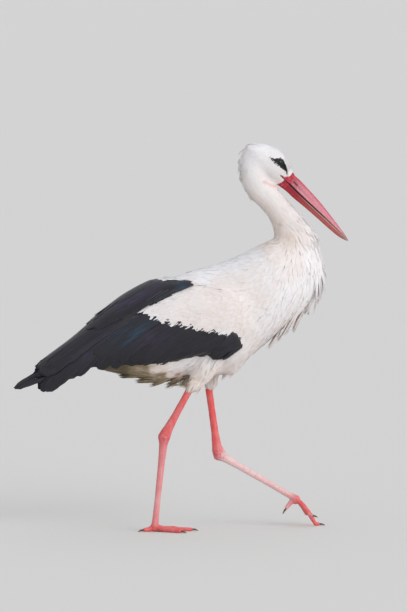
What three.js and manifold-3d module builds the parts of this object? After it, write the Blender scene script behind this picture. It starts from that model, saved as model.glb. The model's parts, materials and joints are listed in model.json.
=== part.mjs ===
// A white stork in mid-stride, life size: millimetres, +X towards the bill, +Y to its left, +Z up.
// Every part is a closed solid of its own. Neighbours keep a thin gap between them.
import * as THREE from "three";
import { mergeVertices } from "three/addons/utils/BufferGeometryUtils.js";
import Module from "manifold-3d";

const wasm = await Module();
wasm.setup();

// ---- Driving sizes ----
const GAP = 0.35; // between one part and the next
const TARSUS = 205; // hock to toe joint
const TIBIA = 249; // knee to hock
const TOE_JOINT_HEIGHT = 12; // of the standing foot
const FEET_APART = 58; // between the two feet, across the bird
const EYE_RADIUS = 8.2;
const BILL_SLOPE = THREE.MathUtils.degToRad(43.8); // below the horizon
const BILL_LENGTH = 198; // from the forehead feathers to the tip

// ---- Finishes: colour and roughness ----
const WHITE = [0xe9e4e0, 0.85];
const BLACK = [0x2b2a35, 0.55];
const CORAL = [0xdc6a64, 0.6];
const SHANK = [0xd59a93, 0.65];
const BILL_RED = [0xcb4455, 0.4];
const CLAW = [0x54423c, 0.5];
const EYE = [0x120d0d, 0.08];

// ---- Solids and meshes ----

// Position and index alone, with shared corners merged.
function bare(geometry) {
  const only = new THREE.BufferGeometry();
  only.setAttribute("position", geometry.getAttribute("position").clone());
  if (geometry.index) only.setIndex(geometry.index.clone());
  return mergeVertices(only, 1e-4);
}

function toSolid(geometry) {
  const merged = bare(geometry);
  const vertProperties = new Float32Array(merged.attributes.position.array);
  const triVerts = new Uint32Array(merged.index.array);
  const made = new wasm.Manifold(new wasm.Mesh({ numProp: 3, vertProperties, triVerts }));
  if (made.volume() > 0) return made;
  for (let i = 0; i < triVerts.length; i += 3) {
    [triVerts[i + 1], triVerts[i + 2]] = [triVerts[i + 2], triVerts[i + 1]];
  }
  return new wasm.Manifold(new wasm.Mesh({ numProp: 3, vertProperties, triVerts }));
}

function toGeometry(solid) {
  const mesh = solid.getMesh();
  const positions = new Float32Array(mesh.numVert * 3);
  for (let i = 0; i < mesh.numVert; i++) {
    positions.set(mesh.vertProperties.subarray(i * mesh.numProp, i * mesh.numProp + 3), i * 3);
  }
  const geometry = new THREE.BufferGeometry();
  geometry.setAttribute("position", new THREE.BufferAttribute(positions, 3));
  geometry.setIndex(new THREE.BufferAttribute(new Uint32Array(mesh.triVerts), 1));
  geometry.computeVertexNormals();
  return geometry;
}

// A cut can leave crumbs: the part is its largest body.
function largest(solid) {
  return solid.decompose().reduce((a, b) => (a.volume() > b.volume() ? a : b));
}

// Both sides alike: the right half and its reflection.
function symmetric(solid) {
  const right = solid.trimByPlane([0, -1, 0], 0);
  return right.add(right.mirror([0, 1, 0]));
}

// A foot is flat where it meets the floor.
function standing(solid) {
  return solid.trimByPlane([0, 0, 1], 0);
}

function join(...solids) {
  return solids.reduce((a, b) => a.add(b));
}

const bird = new THREE.Group();

function place(name, solid, [color, roughness]) {
  const material = new THREE.MeshStandardMaterial({ color, roughness, metalness: 0 });
  const mesh = new THREE.Mesh(toGeometry(largest(solid)), material);
  mesh.name = name;
  bird.add(mesh);
  return mesh;
}

// The same part on the other side of the body.
function mirrored(name, mesh) {
  const twin = new THREE.Mesh(mesh.geometry, mesh.material);
  twin.name = name;
  twin.scale.y = -1;
  bird.add(twin);
  return twin;
}

// ---- Sweeps ----

// A body swept along stations {at: [x, y, z], up, down, wide}. Each section reaches `wide` to both sides,
// along the option `side`, and `up` and `down` square to that. The other options:
// `round` closes either end with a dome over that share of the path,
// `square` above 2 fills the section's corners,
// `grow` swells the body on all sides,
// `from` and `to` take a stretch of the path,
// `upright` keeps every section vertical,
// `turned` lets `up` follow the path round a bend, where it would otherwise point skywards.
function sweep(stations, options = {}) {
  const { sides = 20, rows = 16, round = [0, 0], square = 2, grow = 0, from = 0, to = 1 } = options;
  const { side = new THREE.Vector3(0, 1, 0), upright = false, turned = false, domeRows = 3 } = options;
  const path = new THREE.CatmullRomCurve3(stations.map((s) => new THREE.Vector3(...s.at)));
  const sizes = new THREE.CatmullRomCurve3(
    stations.map((s) => new THREE.Vector3(s.up, s.down ?? s.up, s.wide)),
  );
  // Each row: its place on the path, its share of the full section, and how far growth pushes it along.
  const LEAST = 0.06; // a dome ends in a face this small
  const dome = Array.from({ length: domeRows }, (_, k) => ((k + 1) / domeRows) * (Math.PI / 2));
  const [first, last] = [from + round[0], to - round[1]];
  const steps = Array.from({ length: rows + 1 }, (_, k) => [first + ((last - first) * k) / rows, 1, 0]);
  if (!round[0]) steps[0][2] = -1;
  if (!round[1]) steps[rows][2] = 1;
  for (const angle of dome) {
    const [c, s] = [Math.max(Math.cos(angle), LEAST), Math.sin(angle)];
    if (round[0]) steps.unshift([first - round[0] * s, c, -s]);
    if (round[1]) steps.push([last + round[1] * s, c, s]);
  }
  const geometry = new THREE.CylinderGeometry(1, 1, 1, sides, steps.length - 1, false);
  const position = geometry.getAttribute("position");
  const [point, size, along, across, above] = [0, 1, 2, 3, 4].map(() => new THREE.Vector3());
  for (let i = 0; i < position.count; i++) {
    const row = Math.round((0.5 - position.getY(i)) * (steps.length - 1));
    const [u, share, push] = steps[row];
    path.getPoint(Math.min(u, 1), point);
    sizes.getPoint(Math.min(u, 1), size);
    if (upright) along.set(Math.sign(path.getPoint(1).x - path.getPoint(0).x), 0, 0);
    else path.getTangent(Math.min(u, 1), along);
    across.copy(side).addScaledVector(along, -side.dot(along)).normalize();
    above.crossVectors(along, across).normalize();
    if (above.z < 0 && !turned) above.negate();
    const [c, s] = [position.getX(i), position.getZ(i)];
    const radius = Math.hypot(c, s);
    const bulge = radius > 0 ? (Math.abs(c) ** square + Math.abs(s) ** square) ** (-1 / square) : 0;
    const [dx, dy] = [c * bulge * share, s * bulge * share];
    point.addScaledVector(along, push * grow);
    point.addScaledVector(across, dx * (size.z + grow));
    point.addScaledVector(above, dy * ((dy > 0 ? size.x : size.y) + grow));
    position.setXYZ(i, point.x, point.y, point.z);
  }
  return toSolid(geometry);
}

// A prism with this outline in side view, between two distances to the left of the middle.
function sideCutter(outline, near = -200, far = -0.2) {
  const shape = new THREE.Shape(outline.map(([x, z]) => new THREE.Vector2(x, z)));
  const geometry = new THREE.ExtrudeGeometry(shape, { depth: far - near, bevelEnabled: false });
  return toSolid(geometry.rotateX(Math.PI / 2).translate(0, far, 0));
}

// A prism with this outline seen from above, taller than the wings.
function planCutter(outline) {
  const shape = new THREE.Shape(outline.map(([x, y]) => new THREE.Vector2(x, y)));
  const geometry = new THREE.ExtrudeGeometry(shape, { depth: 600, bevelEnabled: false });
  return toSolid(geometry.translate(0, 0, 200));
}

// ---- Trunk ----

// Upright sections along the body: where, its top, widest height, bottom and half-width.
function section(x, top, middle, bottom, wide) {
  return { at: [x, 0, middle], up: top - middle, down: middle - bottom, wide };
}

const trunkStations = [
  section(311, 604, 582, 560, 15),
  section(303, 630, 580, 532, 34),
  section(288, 646, 576, 510, 48),
  section(266, 655, 570, 490, 62),
  section(235, 658, 560, 461, 75),
  section(190, 655, 545, 424, 85),
  section(148, 634, 525, 389, 88),
  section(103, 613, 510, 346, 84),
  section(60, 598, 500, 347, 81),
  section(0, 583, 488, 346, 79),
  section(-48, 566, 470, 331, 73),
  section(-76, 552, 460, 328, 69),
  section(-106, 533, 455, 343, 64),
  section(-150, 500, 436, 350, 55),
  section(-200, 458, 411, 364, 40),
  section(-236, 424, 398, 381, 24),
];

function trunkForm(grow = 0) {
  return symmetric(sweep(trunkStations, {
    sides: 18, rows: 15, round: [0.02, 0.03], square: 2.15, grow, upright: true, domeRows: 2,
  }));
}

// Rows of pointed plumes hanging from the breast: where the middle one's root and tip are, [x, z].
const plumeRows = [
  { root: [292, 616], tip: [321, 560] },
  { root: [288, 566], tip: [305, 508] },
  { root: [262, 524], tip: [279, 468] },
  { root: [226, 492], tip: [243, 440] },
];
const PLUMES_ACROSS = 5;
const PLUME = { spread: THREE.MathUtils.degToRad(24), thick: 12, wide: 15, sides: 4 };

function plume({ root, tip }, angle) {
  const HUB = 205; // the breast is round about this line
  const NARROW = 0.8; // and narrower than it is long
  const around = ([x, z]) => [HUB + (x - HUB) * Math.cos(angle), NARROW * (x - HUB) * Math.sin(angle), z];
  const stations = [
    { at: around(root), up: PLUME.thick, wide: PLUME.wide },
    { at: around(tip), up: 0.8, wide: 0.8 },
  ];
  const side = new THREE.Vector3(-Math.sin(angle), Math.cos(angle), 0);
  return sweep(stations, { sides: PLUME.sides, rows: 1, side, turned: true });
}

function breastPlumes() {
  return plumeRows.flatMap((row) => Array.from({ length: PLUMES_ACROSS }, (_, i) => {
    return plume(row, (i - (PLUMES_ACROSS - 1) / 2) * PLUME.spread);
  }));
}

// The outer surface of the folded wings, which the trunk's own surface runs into ahead of them.
const wingHullStations = [
  section(150, 636, 520, 360, 87),
  section(103, 615, 508, 345, 97),
  section(60, 600, 498, 338, 99),
  section(0, 588, 485, 335, 96),
  section(-60, 573, 468, 330, 88),
  section(-120, 546, 446, 330, 78),
  section(-180, 506, 420, 322, 66),
  section(-240, 448, 390, 312, 53),
  section(-290, 412, 366, 296, 42),
  section(-330, 384, 344, 286, 33),
  section(-370, 342, 322, 280, 24),
];
// How thick the folded feathers are where nothing fills the space between the wings.
const wingThickness = (x) => THREE.MathUtils.mapLinear(x, -160, -350, 11, 4);

function wingHull(grow = 0) {
  return sweep(wingHullStations, { sides: 18, rows: 11, square: 2.2, grow, upright: true });
}
// The space between the folded wings behind the trunk.
function betweenWings(grow = 0) {
  const stations = wingHullStations.filter(({ at }) => at[0] < -100).map(({ at, up, down, wide }) => {
    const inset = wingThickness(at[0]);
    return { at, up: up - inset, down: down - inset, wide: wide - inset };
  });
  stations.at(-1).at = [-420, 0, 310];
  return sweep(stations, { sides: 10, rows: 5, square: 2.2, grow, upright: true })
    .intersect(sideCutter([[-170, 200], [-170, 600], [-450, 600], [-450, 200]], -100, 100));
}

// ---- Neck ----

const neckStations = [
  { at: [174, 0, 852], up: 20, down: 34, wide: 19 },
  { at: [158, 0, 829], up: 27, down: 40, wide: 24 },
  { at: [151, 0, 802], up: 31, down: 32, wide: 25.5 },
  { at: [160, 0, 775], up: 32, wide: 25 },
  { at: [182, 0, 752], up: 31, wide: 24 },
  { at: [203, 0, 728], up: 30, wide: 24 },
  { at: [221, 0, 703], up: 33, wide: 27 },
  { at: [236, 0, 676], up: 41, wide: 34 },
  { at: [247, 0, 645], up: 52, wide: 44 },
  { at: [252, 0, 610], up: 60, wide: 54 },
  { at: [250, 0, 575], up: 57, wide: 58 },
];
const NECK_ENDS = { neck_upper: [0, 0.33], neck_middle: [0.33, 0.56], neck_lower: [0.56, 0.84] };
const NECK_CUT = 0.0012; // half of the thin cut between lengths, as a share of the path

function neckLength(name, grow = 0) {
  const [start, end] = NECK_ENDS[name];
  return sweep(neckStations, {
    sides: 14, rows: 4, grow, turned: true,
    from: start ? start + NECK_CUT : 0, to: end - NECK_CUT,
  });
}

// ---- Head, bill and eyes ----

const BILL_ROOT = new THREE.Vector2(228, 789);

// A place in the head's own frame: `ahead` along the bill, `above` it, and `left` of the middle.
function headPoint(ahead, above, left = 0) {
  const [c, s] = [Math.cos(BILL_SLOPE), Math.sin(BILL_SLOPE)];
  return [BILL_ROOT.x + ahead * c + above * s, left, BILL_ROOT.y - ahead * s + above * c];
}

const headStations = [
  [2, -3, 21, 21, 12.5],
  [-12, -1, 28, 26, 16.5],
  [-34, 0, 36, 34, 22.5],
  [-58, 0, 38.5, 38, 26.5],
  [-82, -2, 31, 38, 27.5],
  [-103, -8, 18, 36, 24],
  [-119, -18, 9, 20, 14],
].map(([ahead, above, up, down, wide]) => ({ at: headPoint(ahead, above), up, down, wide }));

function headForm(grow = 0) {
  return sweep(headStations, { sides: 14, rows: 8, round: [0.05, 0.05], grow, square: 2.1, domeRows: 2 });
}

// Each mandible reaches from the line where the two meet: ahead, that line, ridge above it, half-width.
const upperBillStations = [
  [-14, -4, 23, 11.5],
  [2, -4.2, 22.5, 12],
  [23, -5, 24, 11],
  [56, -5, 22.5, 9],
  [91, -4.2, 19, 7.4],
  [127, -3.4, 13.4, 6],
  [164, -3.4, 7.6, 4.2],
  [BILL_LENGTH, -4.4, 2, 1.4],
];
const lowerBillStations = [
  [-22, -4.8, 19.6, 10.5],
  [-6, -4.8, 18.6, 11.5],
  [14, -5.6, 15, 10.4],
  [40, -5.8, 14.2, 9],
  [75, -5.2, 12.2, 7.6],
  [120, -4.4, 11, 6],
  [151, -4.2, 10, 4.6],
  [180, -4.6, 6.6, 3],
  [BILL_LENGTH - 3, -5.4, 1.6, 1.2],
];
const INNER = 0.3; // how far each mandible's nearly flat inner side reaches past the meeting line

function mandible(stations, upper) {
  const shaped = stations.map(([ahead, above, deep, wide]) => ({
    at: headPoint(ahead, above + (upper ? INNER : -INNER)),
    up: upper ? deep : INNER,
    down: upper ? INNER : deep,
    wide,
  }));
  return sweep(shaped, { sides: 10, rows: 9, square: 1.75 });
}

// A slit on each side of the upper mandible: a bar right through it, less the bar's middle.
const NOSTRIL = { ahead: [12, 27], above: 6.5, radius: 1.4, apart: 6.5, outside: 14 };
function nostrils() {
  const bar = (radius, wide) => NOSTRIL.ahead.map((ahead) => ({
    at: headPoint(ahead, NOSTRIL.above), up: radius, wide,
  }));
  const through = sweep(bar(NOSTRIL.radius, NOSTRIL.outside), { sides: 6, rows: 1 });
  return through.subtract(sweep(bar(NOSTRIL.radius * 2, NOSTRIL.apart), { sides: 6, rows: 1, square: 6 }));
}

const EYE_PLACE = { ahead: -41, above: 14.5, left: 15.2 };
function eyeBall(way, radius) {
  const at = headPoint(EYE_PLACE.ahead, EYE_PLACE.above, way * EYE_PLACE.left);
  return toSolid(new THREE.SphereGeometry(radius, 10, 7).translate(...at));
}

// ---- Legs ----

// How far a length rises over these two distances across.
const climb = (length, ...across) => Math.sqrt(across.reduce((rest, d) => rest - d ** 2, length ** 2));

const KNEES_APART = 88;
const rightFoot = new THREE.Vector3(-76, -FEET_APART / 2, TOE_JOINT_HEIGHT);
const rightHock = new THREE.Vector3(-55, -FEET_APART / 2 - 4, 0);
rightHock.z = rightFoot.z + climb(TARSUS, rightHock.x - rightFoot.x, rightHock.y - rightFoot.y);
const leftHock = new THREE.Vector3(76, FEET_APART / 2 + 3, 167);
const STRIDE_SLOPE = THREE.MathUtils.degToRad(30.4); // the stepping tarsus below the horizon
const leftFoot = new THREE.Vector3(
  leftHock.x + TARSUS * Math.cos(STRIDE_SLOPE),
  FEET_APART / 2,
  leftHock.z - TARSUS * Math.sin(STRIDE_SLOPE),
);

function kneeOf(hock, ahead) {
  const y = Math.sign(hock.y) * (KNEES_APART / 2);
  return new THREE.Vector3(hock.x + ahead, y, hock.z + climb(TIBIA, ahead, y - hock.y));
}

// Stations along a straight bone: share of its length, fore-and-aft half-depth, half-width, shift ahead.
function bone(start, end, profile) {
  const line = new THREE.Vector3().subVectors(end, start);
  const ahead = new THREE.Vector3(0, 1, 0).cross(line).normalize();
  if (ahead.x < 0) ahead.negate();
  return profile.map(([share, deep, wide, shift = 0]) => {
    const at = new THREE.Vector3().copy(start).addScaledVector(line, share).addScaledVector(ahead, shift);
    return { at: at.toArray(), up: deep, wide };
  });
}

const SHANK_TOP = 0.4; // share of the tibia, from the knee, that feathers cover
const tibiaProfile = [
  [SHANK_TOP, 8.4, 7.4], [0.6, 8, 7], [0.8, 8.6, 7.2], [0.92, 11, 8.6], [0.965, 12.5, 9.6],
];
const hockProfile = [
  [-0.045, 12.5, 9.8], [-0.015, 14, 11], [0.02, 14.2, 11], [0.06, 11.5, 9.4], [0.09, 10, 8.2],
];
const tarsusProfile = [
  [0.09, 10, 8.2], [0.2, 8.4, 6.6], [0.5, 7.4, 5.8], [0.8, 6.8, 5.8], [0.93, 7.6, 7.2], [0.985, 8.2, 9],
];

const legs = {
  right: { knee: kneeOf(rightHock, 119), hock: rightHock, foot: rightFoot, out: -1, steps: false },
  left: { knee: kneeOf(leftHock, -33), hock: leftHock, foot: leftFoot, out: 1, steps: true },
};
const BONE = { sides: 8, rows: 4, turned: true };

function tibiaForm({ knee, hock }, grow = 0) {
  return sweep(bone(knee, hock, tibiaProfile), { ...BONE, grow });
}

function hockForm({ hock, foot }, grow = 0) {
  return sweep(bone(hock, foot, hockProfile), { ...BONE, rows: 3, round: [0.3, 0], domeRows: 2, grow });
}

function tarsusForm({ hock, foot }, grow = 0) {
  return sweep(bone(hock, foot, tarsusProfile), { ...BONE, grow });
}

// ---- Feet ----

// Name, heading from straight ahead (outwards is positive), length without the claw.
const TOES = [
  ["middle", 4, 86],
  ["outer", 38, 70],
  ["inner", -34, 62],
  ["hind", 172, 27],
];
const TOE_RADIUS = { root: 6.6, tip: 4.4 };

// Where each toe's line runs. The standing foot's toes lie along the floor, pressed a little into it.
const TOE_ROOT = 5; // ahead of the joint
const TOE_HEIGHTS = [5.6, 4.9, 4.3, 3.8];
function standingToe({ foot, out }, heading, length) {
  const turn = THREE.MathUtils.degToRad(heading) * out;
  return [foot.z - 2, ...TOE_HEIGHTS].map((z, i) => {
    const reach = THREE.MathUtils.lerp(TOE_ROOT, length, i / TOE_HEIGHTS.length);
    return [foot.x + Math.cos(turn) * reach, foot.y + Math.sin(turn) * reach, z];
  });
}

// The stepping foot's toes slope down, and the middle one's tip alone reaches the floor: each stretch's
// share of the toe and its slope below the horizon.
const DESCENT = [[0.3, 45.5], [0.3, 53], [0.26, 61], [0.14, 6]];
function steppingToe({ foot, out }, heading, length) {
  const turn = THREE.MathUtils.degToRad(heading) * out;
  const point = new THREE.Vector3(foot.x + 4, foot.y, foot.z - 3);
  const line = [point.toArray()];
  for (const [share, degrees] of DESCENT) {
    const slope = THREE.MathUtils.degToRad(degrees);
    const forward = Math.cos(turn);
    const step = new THREE.Vector3(forward * Math.cos(slope), Math.sin(turn), -forward * Math.sin(slope));
    point.addScaledVector(step, (length - 4) * share);
    line.push(point.toArray());
  }
  return line;
}

// Its hind toe hangs back and down.
function hangingToe({ foot }, heading, length) {
  return [0, 0.5, 1].map((share) => {
    const drop = length * share * (0.5 + 0.22 * share);
    return [foot.x - 5 - 0.62 * length * share, foot.y, foot.z - 4 - drop];
  });
}

const palmStations = [
  { ahead: -9, above: 1, up: 7, down: 9, wide: 8 },
  { ahead: 0, above: 0, up: 8.6, down: 13.6, wide: 11 },
  { ahead: 10, above: -2.5, up: 7, down: 11.2, wide: 11.5 },
];
function palmForm({ foot }, grow = 0) {
  const stations = palmStations.map(({ ahead, above, ...size }) => {
    return { at: [foot.x + ahead, foot.y, foot.z + above], ...size };
  });
  return sweep(stations, { sides: 8, rows: 2, round: [0.2, 0.2], domeRows: 2, grow });
}

function toeForm(line, side, grow = 0) {
  const stations = line.map((at, i) => {
    const radius = THREE.MathUtils.lerp(TOE_RADIUS.root, TOE_RADIUS.tip, i / (line.length - 1));
    return { at, up: radius, wide: radius };
  });
  return sweep(stations, { sides: 7, rows: 5, round: [0, 0.04], domeRows: 1, side, grow });
}

// Along a claw from the toe's tip: distance ahead, rise, half-depth and half-width.
const clawStations = [
  [-3, 0, 3.1, 3.1],
  [3, 0.3, 2.8, 2.7],
  [8, -0.6, 1.9, 1.8],
  [12, -2.2, 0.9, 0.8],
];
function clawForm(line, side) {
  const tip = new THREE.Vector3(...line.at(-1));
  const onward = tip.clone().sub(new THREE.Vector3(...line.at(-2))).normalize();
  const stations = clawStations.map(([ahead, rise, deep, wide]) => {
    const at = tip.clone().addScaledVector(onward, ahead);
    at.z = Math.max(at.z + rise, deep * 0.8);
    return { at: at.toArray(), up: deep, wide };
  });
  return sweep(stations, { sides: 5, rows: 2, side });
}

function placeFoot(label, leg) {
  const shank = tarsusForm(leg, GAP);
  place(`foot_${label}`, standing(palmForm(leg).subtract(shank)), CORAL);
  let taken = join(palmForm(leg, GAP), shank);
  for (const [name, heading, length] of TOES) {
    const raised = name === "hind" ? hangingToe : steppingToe;
    const line = (leg.steps ? raised : standingToe)(leg, heading, length);
    const [root, tip] = [line[0], line.at(-1)];
    const side = new THREE.Vector3(tip[1] - root[1], root[0] - tip[0], 0).normalize();
    place(`toe_${name}_${label}`, standing(toeForm(line, side).subtract(taken)), CORAL);
    taken = join(taken, toeForm(line, side, GAP));
    place(`claw_${name}_${label}`, standing(clawForm(line, side).subtract(taken)), CLAW);
  }
}

// ---- Thighs ----

// The feathered part of a leg, which hangs a little ahead of the bone: where its middle is, its
// half-depth fore and aft and its half-width.
const thighStations = {
  right: [[52, 412, 46, 30], [40, 378, 35, 27], [27, 350, 25, 21], [17, 330, 15, 14], [10, 316, 8.6, 8.6]],
  left: [[52, 412, 44, 30], [60, 378, 27, 25], [64, 350, 19, 18], [63, 330, 13, 13], [60, 312, 8.6, 8.6]],
};
const THIGHS = { apart: 76, closing: 0.6 }; // at the top, and by how much each station nears the middle
function thighForm(label, grow = 0) {
  const out = legs[label].out;
  const stations = thighStations[label].map(([x, z, deep, wide], i) => ({
    at: [x, out * (THIGHS.apart / 2 - i * THIGHS.closing), z], up: deep, wide,
  }));
  return sweep(stations, { sides: 10, rows: 4, round: [0.1, 0.04], turned: true, domeRows: 2, grow });
}

// ---- Wings and tail ----

// Outlines in side view of the folded wing's feather groups. Each group is cut away from those after it.
const groupOutlines = {
  coverts: [
    [119, 432], [128, 462], [124, 505], [100, 540], [60, 556], [6, 563], [-22, 547], [-44, 534],
    [-67, 522], [-85, 514], [-101, 511], [-128, 503], [-110, 497], [-92, 489], [-69, 477], [-47, 470],
    [-24, 466], [-2, 462], [21, 460], [43, 455], [66, 450], [84, 446], [105, 441],
  ],
  alula: [
    [116, 440], [98, 450], [77, 418.5], [41, 401.5], [43, 393], [52, 386], [72, 387], [86, 394],
    [104, 405], [119, 417],
  ],
  scapulars: [
    [8, 566], [-22, 545], [-85, 500], [-102, 508], [-128, 505], [-150, 503],
    [-176, 487], [-202, 470], [-236, 452], [-266, 430], [-266, 640], [-66, 640], [-60, 574], [-30, 570],
  ],
  tertials: [
    [-80, 470], [-100, 520], [-262, 520], [-310, 440], [-353, 362], [-353, 353], [-346, 349],
    [-335, 350], [-324, 354], [-290, 372], [-240, 402], [-180, 437], [-130, 467],
  ],
  secondaries: [
    [76, 418], [108, 460], [0, 520], [-100, 500], [-252, 420], [-313, 356], [-335, 340], [-341, 328],
    [-336, 318], [-326, 315], [-312, 321], [-294, 334], [-271, 350], [-249, 361], [-226, 368],
    [-203, 373], [-158, 377], [-113, 376], [-68, 380], [-23, 390], [22, 400], [40, 404],
  ],
};

// The rounded tips of two of those groups seen from above, in x and y, on the right.
const planOutlines = {
  tertials: [
    [-40, 0], [-322, -0.2], [-342, -4], [-353, -13], [-350, -22], [-334, -32], [-300, -90], [-40, -110],
  ],
  secondaries: [
    [140, 0], [-300, 0], [-328, -14], [-340, -23], [-339, -28], [-322, -36], [-280, -90], [140, -110],
  ],
};

// A long feather group: centre line, half-height and half-thickness at each point, leaning inwards.
function blade(points, options = {}) {
  const stations = points.map(([x, y, z, high, thick]) => ({ at: [x, y, z], up: high, wide: thick }));
  return sweep(stations, { sides: 8, rows: 6, square: 2.4, round: [0.02, 0.05], domeRows: 2, ...options });
}
const primaryBlade = [
  [-190, -34, 405, 15, 4.4], [-270, -26, 378, 15, 4], [-320, -19, 358, 12, 3.4],
  [-360, -13, 341, 8, 2.6], [-394, -9, 325, 2.4, 1.2],
];
const tailFan = [
  [-190, 0, 400, 9, 26], [-240, 0, 382, 6, 31], [-290, 0, 364, 4.6, 34], [-322, 0, 352, 3.4, 33],
  [-334, 0, 347, 2.2, 27],
];

// ---- Building ----

const sockets = join(eyeBall(-1, EYE_RADIUS + GAP), eyeBall(1, EYE_RADIUS + GAP));
place("head", headForm().subtract(sockets), WHITE);
place("eye_right", eyeBall(-1, EYE_RADIUS), EYE);
place("eye_left", eyeBall(1, EYE_RADIUS), EYE);

const headGrown = headForm(GAP);
place("bill_upper", mandible(upperBillStations, true).subtract(headGrown).subtract(nostrils()), BILL_RED);
place("bill_lower", mandible(lowerBillStations, false).subtract(headGrown), BILL_RED);

place("neck_upper", neckLength("neck_upper").subtract(headGrown), WHITE);
place("neck_middle", neckLength("neck_middle").subtract(headGrown), WHITE);
place("neck_lower", neckLength("neck_lower"), WHITE);

const thighsGrown = join(thighForm("right", GAP), thighForm("left", GAP));
const trunk = join(trunkForm(), ...breastPlumes())
  .subtract(neckLength("neck_lower", GAP))
  .subtract(neckLength("neck_middle", GAP))
  .subtract(thighsGrown);
place("trunk", trunk, WHITE);

// The right wing is clear of both thighs, so that its reflection is too.
const shell = wingHull()
  .subtract(betweenWings())
  .subtract(trunkForm(GAP))
  .subtract(thighsGrown)
  .subtract(thighsGrown.mirror([0, 1, 0]));
let uncut = shell;
const group = {};
for (const [name, outline] of Object.entries(groupOutlines)) {
  const cutter = sideCutter(outline);
  group[name] = uncut.intersect(cutter);
  for (const [dx, dz] of [[GAP, 0], [-GAP, 0], [0, GAP], [0, -GAP]]) {
    uncut = uncut.subtract(cutter.translate([dx, 0, dz]));
  }
}
for (const [name, outline] of Object.entries(planOutlines)) {
  group[name] = group[name].intersect(planCutter(outline));
}
const body = trunkForm(GAP);
const within = betweenWings(-GAP);
const primaries = blade(primaryBlade).subtract(wingHull(GAP).subtract(within)).subtract(body);
const wing = [
  ["coverts", group.coverts, WHITE],
  ["alula", group.alula, BLACK],
  ["scapulars", group.scapulars, BLACK],
  ["tertials", group.tertials, BLACK],
  ["secondaries", group.secondaries, BLACK],
  ["primaries", primaries, BLACK],
];
for (const [name, solid, finish] of wing) {
  mirrored(`wing_${name}_left`, place(`wing_${name}_right`, solid, finish));
}
const besideTail = blade(primaryBlade, { grow: GAP });
const tail = blade(tailFan, { rows: 4, domeRows: 1 })
  .intersect(within)
  .subtract(join(body, besideTail, besideTail.mirror([0, 1, 0])));
place("tail", tail, WHITE);

for (const [label, leg] of Object.entries(legs)) {
  place(`thigh_${label}`, thighForm(label).subtract(tibiaForm(leg, GAP)), WHITE);
  place(`tibia_${label}`, tibiaForm(leg).subtract(hockForm(leg, GAP)), CORAL);
  place(`hock_${label}`, hockForm(leg), CORAL);
  place(`tarsus_${label}`, tarsusForm(leg).subtract(hockForm(leg, GAP)), SHANK);
  placeFoot(label, leg);
}

// The origin is on the floor, under the middle of the whole bird.
const box = new THREE.Box3().setFromObject(bird);
const middle = box.getCenter(new THREE.Vector3());
bird.position.set(-middle.x, -middle.y, 0);

export default bird;
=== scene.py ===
# A white stork in mid-stride, life size. A skin is drawn over the solids, feathers are laid on the
# skin, and the bill, eyes and claws are made new in the places of theirs.
import json
import math
import bmesh
import bpy
import numpy as np
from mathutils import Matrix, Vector
from mathutils.bvhtree import BVHTree
from mathutils.kdtree import KDTree


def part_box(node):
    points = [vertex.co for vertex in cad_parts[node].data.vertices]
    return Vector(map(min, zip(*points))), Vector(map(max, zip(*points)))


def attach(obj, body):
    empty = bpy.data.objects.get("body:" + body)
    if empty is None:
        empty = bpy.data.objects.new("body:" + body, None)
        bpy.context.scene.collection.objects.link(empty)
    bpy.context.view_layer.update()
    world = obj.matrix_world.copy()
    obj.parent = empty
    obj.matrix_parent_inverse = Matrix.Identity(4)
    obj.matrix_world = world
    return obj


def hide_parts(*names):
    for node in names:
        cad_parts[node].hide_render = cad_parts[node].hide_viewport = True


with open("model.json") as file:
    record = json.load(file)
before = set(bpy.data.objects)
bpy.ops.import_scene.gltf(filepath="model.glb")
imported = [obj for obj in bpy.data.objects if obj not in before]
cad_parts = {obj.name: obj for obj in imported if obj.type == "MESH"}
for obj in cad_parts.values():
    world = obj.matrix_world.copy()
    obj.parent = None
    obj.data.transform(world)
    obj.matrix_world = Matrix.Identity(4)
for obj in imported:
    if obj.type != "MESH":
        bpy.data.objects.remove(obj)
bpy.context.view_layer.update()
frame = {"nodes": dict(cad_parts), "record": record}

mm = 0.001
chance = np.random.default_rng(11)

# side-view drawings are in millimetres, x ahead and z up, with the eye this far ahead of their zero
drawnEye = 208.4
eyeLow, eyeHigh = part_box("eye_right")
drawnShift = (eyeLow.x + eyeHigh.x) / 2 - drawnEye * mm


def drawn(x, z, y=0.0):
    return Vector((x * mm + drawnShift, y * mm, z * mm))


def sideView(points):
    return np.stack([(points[:, 0] - drawnShift) / mm, points[:, 2] / mm], axis=1)


billSlope = math.radians(43.8)  # below the horizon
billRoot = (228, 789)
billCos, billSin = math.cos(billSlope), math.sin(billSlope)


def headPlace(ahead, above, left):
    # in millimetres along the bill, above it and to the left, as a place in metres
    x = billRoot[0] + ahead * billCos + above * billSin
    z = billRoot[1] - ahead * billSin + above * billCos
    return np.stack(np.broadcast_arrays(x * mm + drawnShift, left * mm, z * mm), axis=-1)


def headView(points):
    # ahead along the bill and above it, in millimetres
    x, z = (sideView(points) - billRoot).T
    return np.stack([x * billCos - z * billSin, x * billSin + z * billCos], axis=1)


# meshes are made and read as arrays of points and of faces
def readOut(items, key, width, kind=float):
    values = np.zeros(len(items) * width, dtype=kind)
    items.foreach_get(key, values)
    return values.reshape(-1, width)


def arraysOf(mesh):
    mesh.calc_loop_triangles()
    return readOut(mesh.vertices, "co", 3), readOut(mesh.loop_triangles, "vertices", 3, np.int32)


def joined(parts):
    starts = np.cumsum([0] + [len(points) for points, _ in parts[:-1]])
    points = np.concatenate([points for points, _ in parts])
    return points, np.concatenate([faces + start for (_, faces), start in zip(parts, starts)])


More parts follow.
